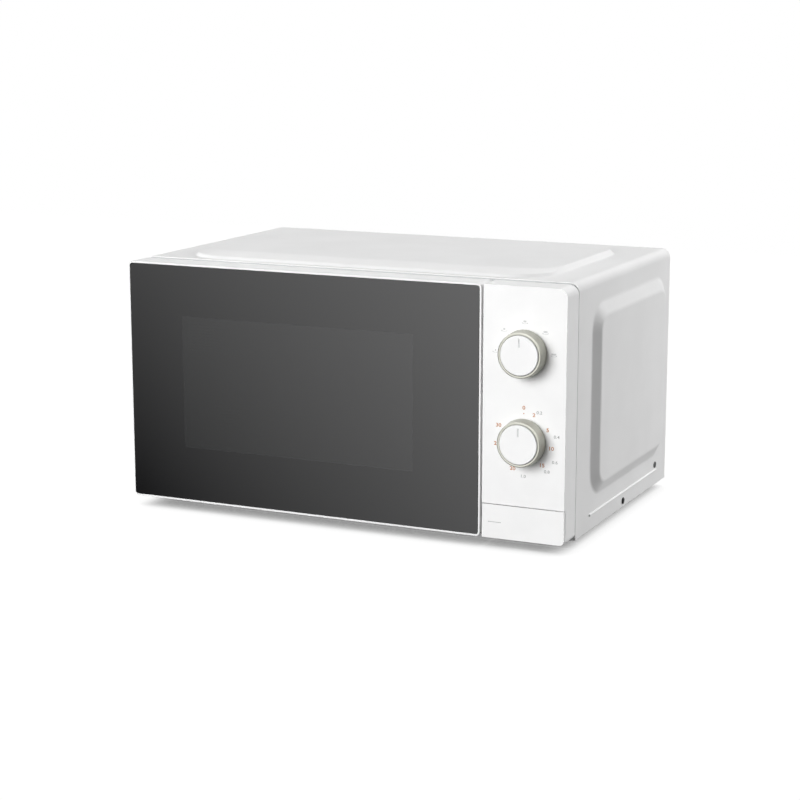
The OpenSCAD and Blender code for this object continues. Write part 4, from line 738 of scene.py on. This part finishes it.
# Pale grey print for the pointers, which stands out just enough on the white cap.
pointer_ink = printed("pointer_ink", "D2D4D4")
pointer_out, pointer_w, pointer_h = 11.3 * MM, 1.1 * MM, 7.8 * MM
for dial, centre_z in (("timer", timer_z), ("power", power_z)):
    body = dial + "_knob"
    turned_skirt = skirt(dial + "_plated_skirt", centre_z)
    finish_piece(turned_skirt, body, champagne, "champagne_metal", dial + "_skirt")
    softened(dial + "_cap", dial + "_white_cap", body, 0.35 * MM, white_abs, "white_plastic")
    notch_face = timer_lo.y + 0.35 * MM
    line = stroke(dial_x, centre_z + pointer_out, pointer_w, pointer_h, notch_face)
    join_as(dial + "_pointer", [line], body, pointer_ink, "white_plastic")
    frame["nodes"][dial + "_shaft"].data.materials[0] = bright_bar

# Window screen. A steel sheet punched all over with 1.8 mm holes and painted
# black, which keeps the microwaves in while the food can be seen.

screen_lo, screen_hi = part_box("door_screen")
pitch = 3 * MM
hole = 0.9 * MM
past_window = 4 * MM
columns = round((window_x[1] - window_x[0] + past_window) / pitch)
rows = round((window_z[1] - window_z[0] + past_window) / pitch)
corner = Vector((sum(window_x) / 2 - columns * pitch / 2, screen_lo.y,
                 sum(window_z) / 2 - rows * pitch / 2))
bpy.ops.object.select_all(action="DESELECT")
bpy.ops.mesh.primitive_plane_add(size=pitch, location=corner + Vector((pitch / 2, 0, pitch / 2)),
                                 rotation=(math.radians(90), 0, 0))
screen = bpy.context.object
screen.name = "punched_screen"
bpy.ops.object.transform_apply()
bpy.ops.object.mode_set(mode="EDIT")
bpy.ops.mesh.select_all(action="SELECT")
bpy.ops.mesh.subdivide(number_cuts=1)
bpy.ops.mesh.select_mode(type="VERT")
hub = corner + Vector((pitch / 2, 0, pitch / 2))
select_where(screen, "verts", lambda v: (v.co - hub).length < 0.1 * pitch)
bpy.ops.mesh.bevel(offset=hole, segments=1, affect="VERTICES")
select_where(screen, "faces", lambda f: (f.calc_center_median() - hub).length < 0.1 * pitch)
bpy.ops.mesh.delete(type="FACE")
bpy.ops.object.mode_set(mode="OBJECT")
for count, along in ((columns, (pitch, 0, 0)), (rows, (0, 0, pitch))):
    apply_modifier(screen, "ARRAY", count=count, use_relative_offset=False, use_constant_offset=True,
                   constant_offset_displace=along, use_merge_vertices=True, merge_threshold=0.01 * MM)
bpy.ops.object.mode_set(mode="EDIT")
for side, way, reach in (("low", 0, screen_lo.x), ("high", 0, screen_hi.x),
                         ("low", 2, screen_lo.z), ("high", 2, screen_hi.z)):
    mesh = bmesh.from_edit_mesh(screen.data)
    ends = [v.co[way] for v in mesh.verts]
    edge_at = min(ends) if side == "low" else max(ends)
    select_where(screen, "edges", lambda e: all(even(v.co[way], edge_at) for v in e.verts))
    step = [0, 0, 0]
    step[way] = reach - edge_at
    bpy.ops.mesh.extrude_edges_move(TRANSFORM_OT_translate={"value": step})
bpy.ops.mesh.select_all(action="SELECT")
bpy.ops.mesh.normals_make_consistent(inside=False)
bpy.ops.object.mode_set(mode="OBJECT")
apply_modifier(screen, "SOLIDIFY", thickness=screen_hi.y - screen_lo.y, offset=-1)

# Black powder coat: it shows no colour and little shine, so the window reads dark.
black_coat = powder_coat("black_powder_coat", ("1B1B1C", "222223"), 0.45)
finish_piece(screen, "door", black_coat, "screen_steel", "door_screen")

# Door's inner side. The choke is a folded steel channel, its cover is a moulded
# lid with two slots for the hooks, and the inner window is a clear plastic film.

# Light grey polypropylene: a soft, slightly waxy grey with a broad sheen.
lid_plastic = moulded("light_grey_polypropylene", ("CFCFCD", "C8C8C6"), 0.45)
softened("choke_cover", "choke_lid", "door", 0.5 * MM, lid_plastic, "cover_plastic")
softened("door_choke", "choke_channel", "door", 0.3 * MM, black_coat, "screen_steel")

# Polyester film: nearly clear, with a slow ripple that bends its reflections.
film, film_tree, film_shader, film_where = start_material(
    "polyester_film", "D8D9DA", 0.12, IOR=1.5, Transmission_Weight=0.9)
drawn = add_node(film_tree, "ShaderNodeTexNoise", {"Scale": 1 / (35 * MM)}, {"Vector": film_where})
relief(film_tree, film_shader, drawn.outputs[0], 0.05 * MM)
softened("inner_window", "window_film_sheet", "door", 0.2 * MM, film, "window_film")

# Natural acetal: an ivory white, dense and a little shiny.
natural_pom = moulded("natural_acetal", ("E6E0CF", "DED7C4"), 0.42)
softened("door_hooks", "hook_moulding", "hooks", 0.4 * MM, natural_pom, "cream_plastic")

# The two springs are plain steel coils, and each is given a mesh of its own.
hook_coil = softened("hook_spring", "hook_coil", "door", 0, bright_bar, "spring_steel")
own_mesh(hook_coil)
button_coil = softened("button_spring", "button_coil", "oven", 0, bright_bar, "spring_steel")
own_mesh(button_coil)

# Turntable. A pressed dish of clear glass stands on a roller ring of natural
# acetal, and a coupler on the motor's shaft turns the dish by its three lugs.

# Pressed soda glass: clear and glossy, with a faint green cast at its edges and
# the slow ripple that the press leaves.
tray_glass, tray_tree, tray_shader, tray_where = start_material(
    "pressed_clear_glass", "EEF6F4", 0.04, IOR=1.52, Transmission_Weight=0.92)
ripple = add_node(tray_tree, "ShaderNodeTexNoise", {"Scale": 1 / (4 * MM)}, {"Vector": tray_where})
relief(tray_tree, tray_shader, ripple.outputs[0], 0.02 * MM)
softened("glass_tray", "glass_dish", "turntable", 0.6 * MM, tray_glass, "tray_glass")
softened("turntable_coupler", "coupler_moulding", "turntable", 0.3 * MM, natural_pom, "ring_plastic")
softened("roller_ring", "ring_moulding", "roller_ring", 0.3 * MM, natural_pom, "ring_plastic")
for i in (1, 2, 3):
    softened(f"roller_{i}", f"roller_wheel_{i}", f"roller_{i}", 0.4 * MM, natural_pom, "ring_plastic")

# Cavity and front frame. Both are folded from steel sheet and spot welded; the
# cavity and the frame are sprayed with one light grey enamel.

# Light grey enamel: a cool grey with a satin shine and a coarser ripple.
cavity_coat = powder_coat("light_grey_enamel", ("C9CBCB", "C2C4C4"), 0.38, 2.2 * MM, 0.01 * MM)
frame["nodes"]["oven_cavity"].data.materials[0] = cavity_coat
softened("front_frame", "front_plate", "oven", 0.15 * MM, cavity_coat, "zinc_steel", 1)

# Pressed mica: a dull tan board in which the flakes show as small patches.
mica, mica_tree, mica_shader, mica_where = start_material("pressed_mica", "B5A789", 0.55)
flake = add_node(mica_tree, "ShaderNodeTexVoronoi", {"Scale": 1 / (3 * MM)}, {"Vector": mica_where})
relief(mica_tree, mica_shader, flake.outputs["Distance"], 0.03 * MM)
tint(mica_tree, mica_shader, mica_where, ("B5A789", "A09172"), 4 * MM)
frame["nodes"]["waveguide_cover"].data.materials[0] = mica

# Base, back and small outside pieces. The base and back plates are zinc-plated
# sheet with pressed vents. The feet are rubber, and the spacer keeps the oven
# off the wall so that hot air can leave.

# Zinc plate: a cool grey metal with a soft cloud in its tone.
zinc = plated("zinc_plated_sheet", ("BCBFC1", "B5B8BA"), 0.42, 0.8 * MM, 0.004 * MM)
for node in ("base_plate", "rear_plate", "waveguide", "capacitor_clamp", "upper_hinge", "lower_hinge",
             "magnetron_filter_box"):
    frame["nodes"][node].data.materials[0] = zinc

# Grey rubber: dark and dull, with a coarse skin.
rubber = moulded("grey_rubber", ("3E3E40", "353537"), 0.75, 0.9 * MM, 0.02 * MM)
softened("feet", "rubber_feet", "oven", 0.8 * MM, rubber, "grey_rubber")

# Black nylon: near black, with a low sheen.
black_nylon = moulded("black_nylon", ("1E1E1F", "252526"), 0.5)
softened("rear_spacer", "wall_spacer", "oven", 1.0 * MM, black_nylon, "black_plastic")
softened("cord_bushing", "bushing_moulding", "oven", 0.4 * MM, black_nylon, "black_plastic")

# Zinc-plated screws. The one in the middle of each side is coloured black as painted
# shade: its dark dot stands for the shade inside an open screw hole.
screw_zinc = plated("zinc_plated_screw", ("8E8F8F", "6F7071"), 0.35)
fixings = softened("cabinet_screws", "cabinet_fixings", "oven", 0.15 * MM, screw_zinc, "screw_steel")
fixings.data.materials.append(plated("black_screw_painted_hole_shade", ("2A2A2B", "1F1F20"), 0.4))
middle_screws_y = rear_y - 60 * MM
# The middle screws take the black of the painted hole shade.
for face in fixings.data.polygons:
    face.material_index = int(face.center.y < middle_screws_y)

# Machine bay. The pieces behind the panel and under the wrap: switches, fan and
# duct, magnetron, transformer, capacitor, diode, motors, lamp and filter board.

# Rolled aluminium: a bright pale metal, streaked along the rolling.
bare_aluminium = plated("rolled_aluminium", ("C9CBCC", "B4B6B8"), 0.32, 0.4 * MM, 0.002 * MM, (1, 1, 8))

# Drawn copper: a warm pink-brown metal.
bare_copper = plated("drawn_copper", ("C98B6B", "B5704F"), 0.3)

# Red PBT and grey polypropylene: plain moulded colours with a dull sheen.
red_pbt = moulded("red_pbt", ("B3221A", "A11C15"), 0.4)
grey_pp = moulded("grey_polypropylene", ("4E4E50", "464648"), 0.5)

# Varnished steel laminations: dark brown, with the lines of the stack. A wave
# repeats at about 0.3 of its scale, here 2 mm, as real 0.5 mm sheets would not show.
varnished, core_tree, core_shader, core_where = start_material("varnished_laminations", "3A3532", 0.4)
stack = add_node(core_tree, "ShaderNodeTexWave", {"Scale": 1 / (6.2 * MM), "Distortion": 0.3},
                 {"Vector": core_where}, bands_direction="X")
relief(core_tree, core_shader, stack.outputs[0], 0.15 * MM)
tint(core_tree, core_shader, core_where, ("3A3532", "5A4A3E"), 9 * MM)

# Enamelled copper wire: a glossy red-brown, ribbed every 2 mm or so by its turns.
enamelled, wire_tree, wire_shader, wire_where = start_material("enamelled_wire", "A2512B", 0.3)
turns = add_node(wire_tree, "ShaderNodeTexWave", {"Scale": 1 / (6.2 * MM)}, {"Vector": wire_where},
                 bands_direction="Z")
relief(wire_tree, wire_shader, turns.outputs[0], 0.3 * MM)
tint(wire_tree, wire_shader, wire_where, ("A2512B", "8A3F20"), 5 * MM)

# Clear bulb glass: nearly unseen but for its highlights.
bulb, bulb_tree, bulb_shader, bulb_where = start_material(
    "clear_bulb_glass", "FFFFFF", 0.03, IOR=1.5, Transmission_Weight=0.9)
seed = add_node(bulb_tree, "ShaderNodeTexNoise", {"Scale": 1 / (6 * MM)}, {"Vector": bulb_where})
relief(bulb_tree, bulb_shader, seed.outputs[0], 0.02 * MM)

# Green solder mask on a circuit board, and a red silicone lead with a dull skin.
board = moulded("green_circuit_board", ("2F6B3A", "2A5F33"), 0.35, 1.2 * MM, 0.02 * MM, 3 * MM)
red_lead = moulded("red_silicone_lead", ("A3261D", "93201A"), 0.5)
bay = {
    natural_pom: ("timer_switch", "power_selector", "latch_body", "opener_lever", "lamp_holder"),
    black_nylon: ("micro_switches", "hv_diode", "cavity_thermostat", "fan_duct"),
    red_pbt: ("switch_buttons",),
    bare_aluminium: ("magnetron_body", "hv_capacitor", "fan_motor", "turntable_motor"),
    bare_copper: ("magnetron_antenna",),
    varnished: ("transformer_core",),
    enamelled: ("transformer_primary", "transformer_secondary"),
    grey_pp: ("fan_blade",),
    bulb: ("oven_lamp",),
    board: ("filter_board",),
    red_lead: ("high_voltage_lead",),
}
for material, nodes in bay.items():
    for node in nodes:
        frame["nodes"][node].data.materials[0] = material
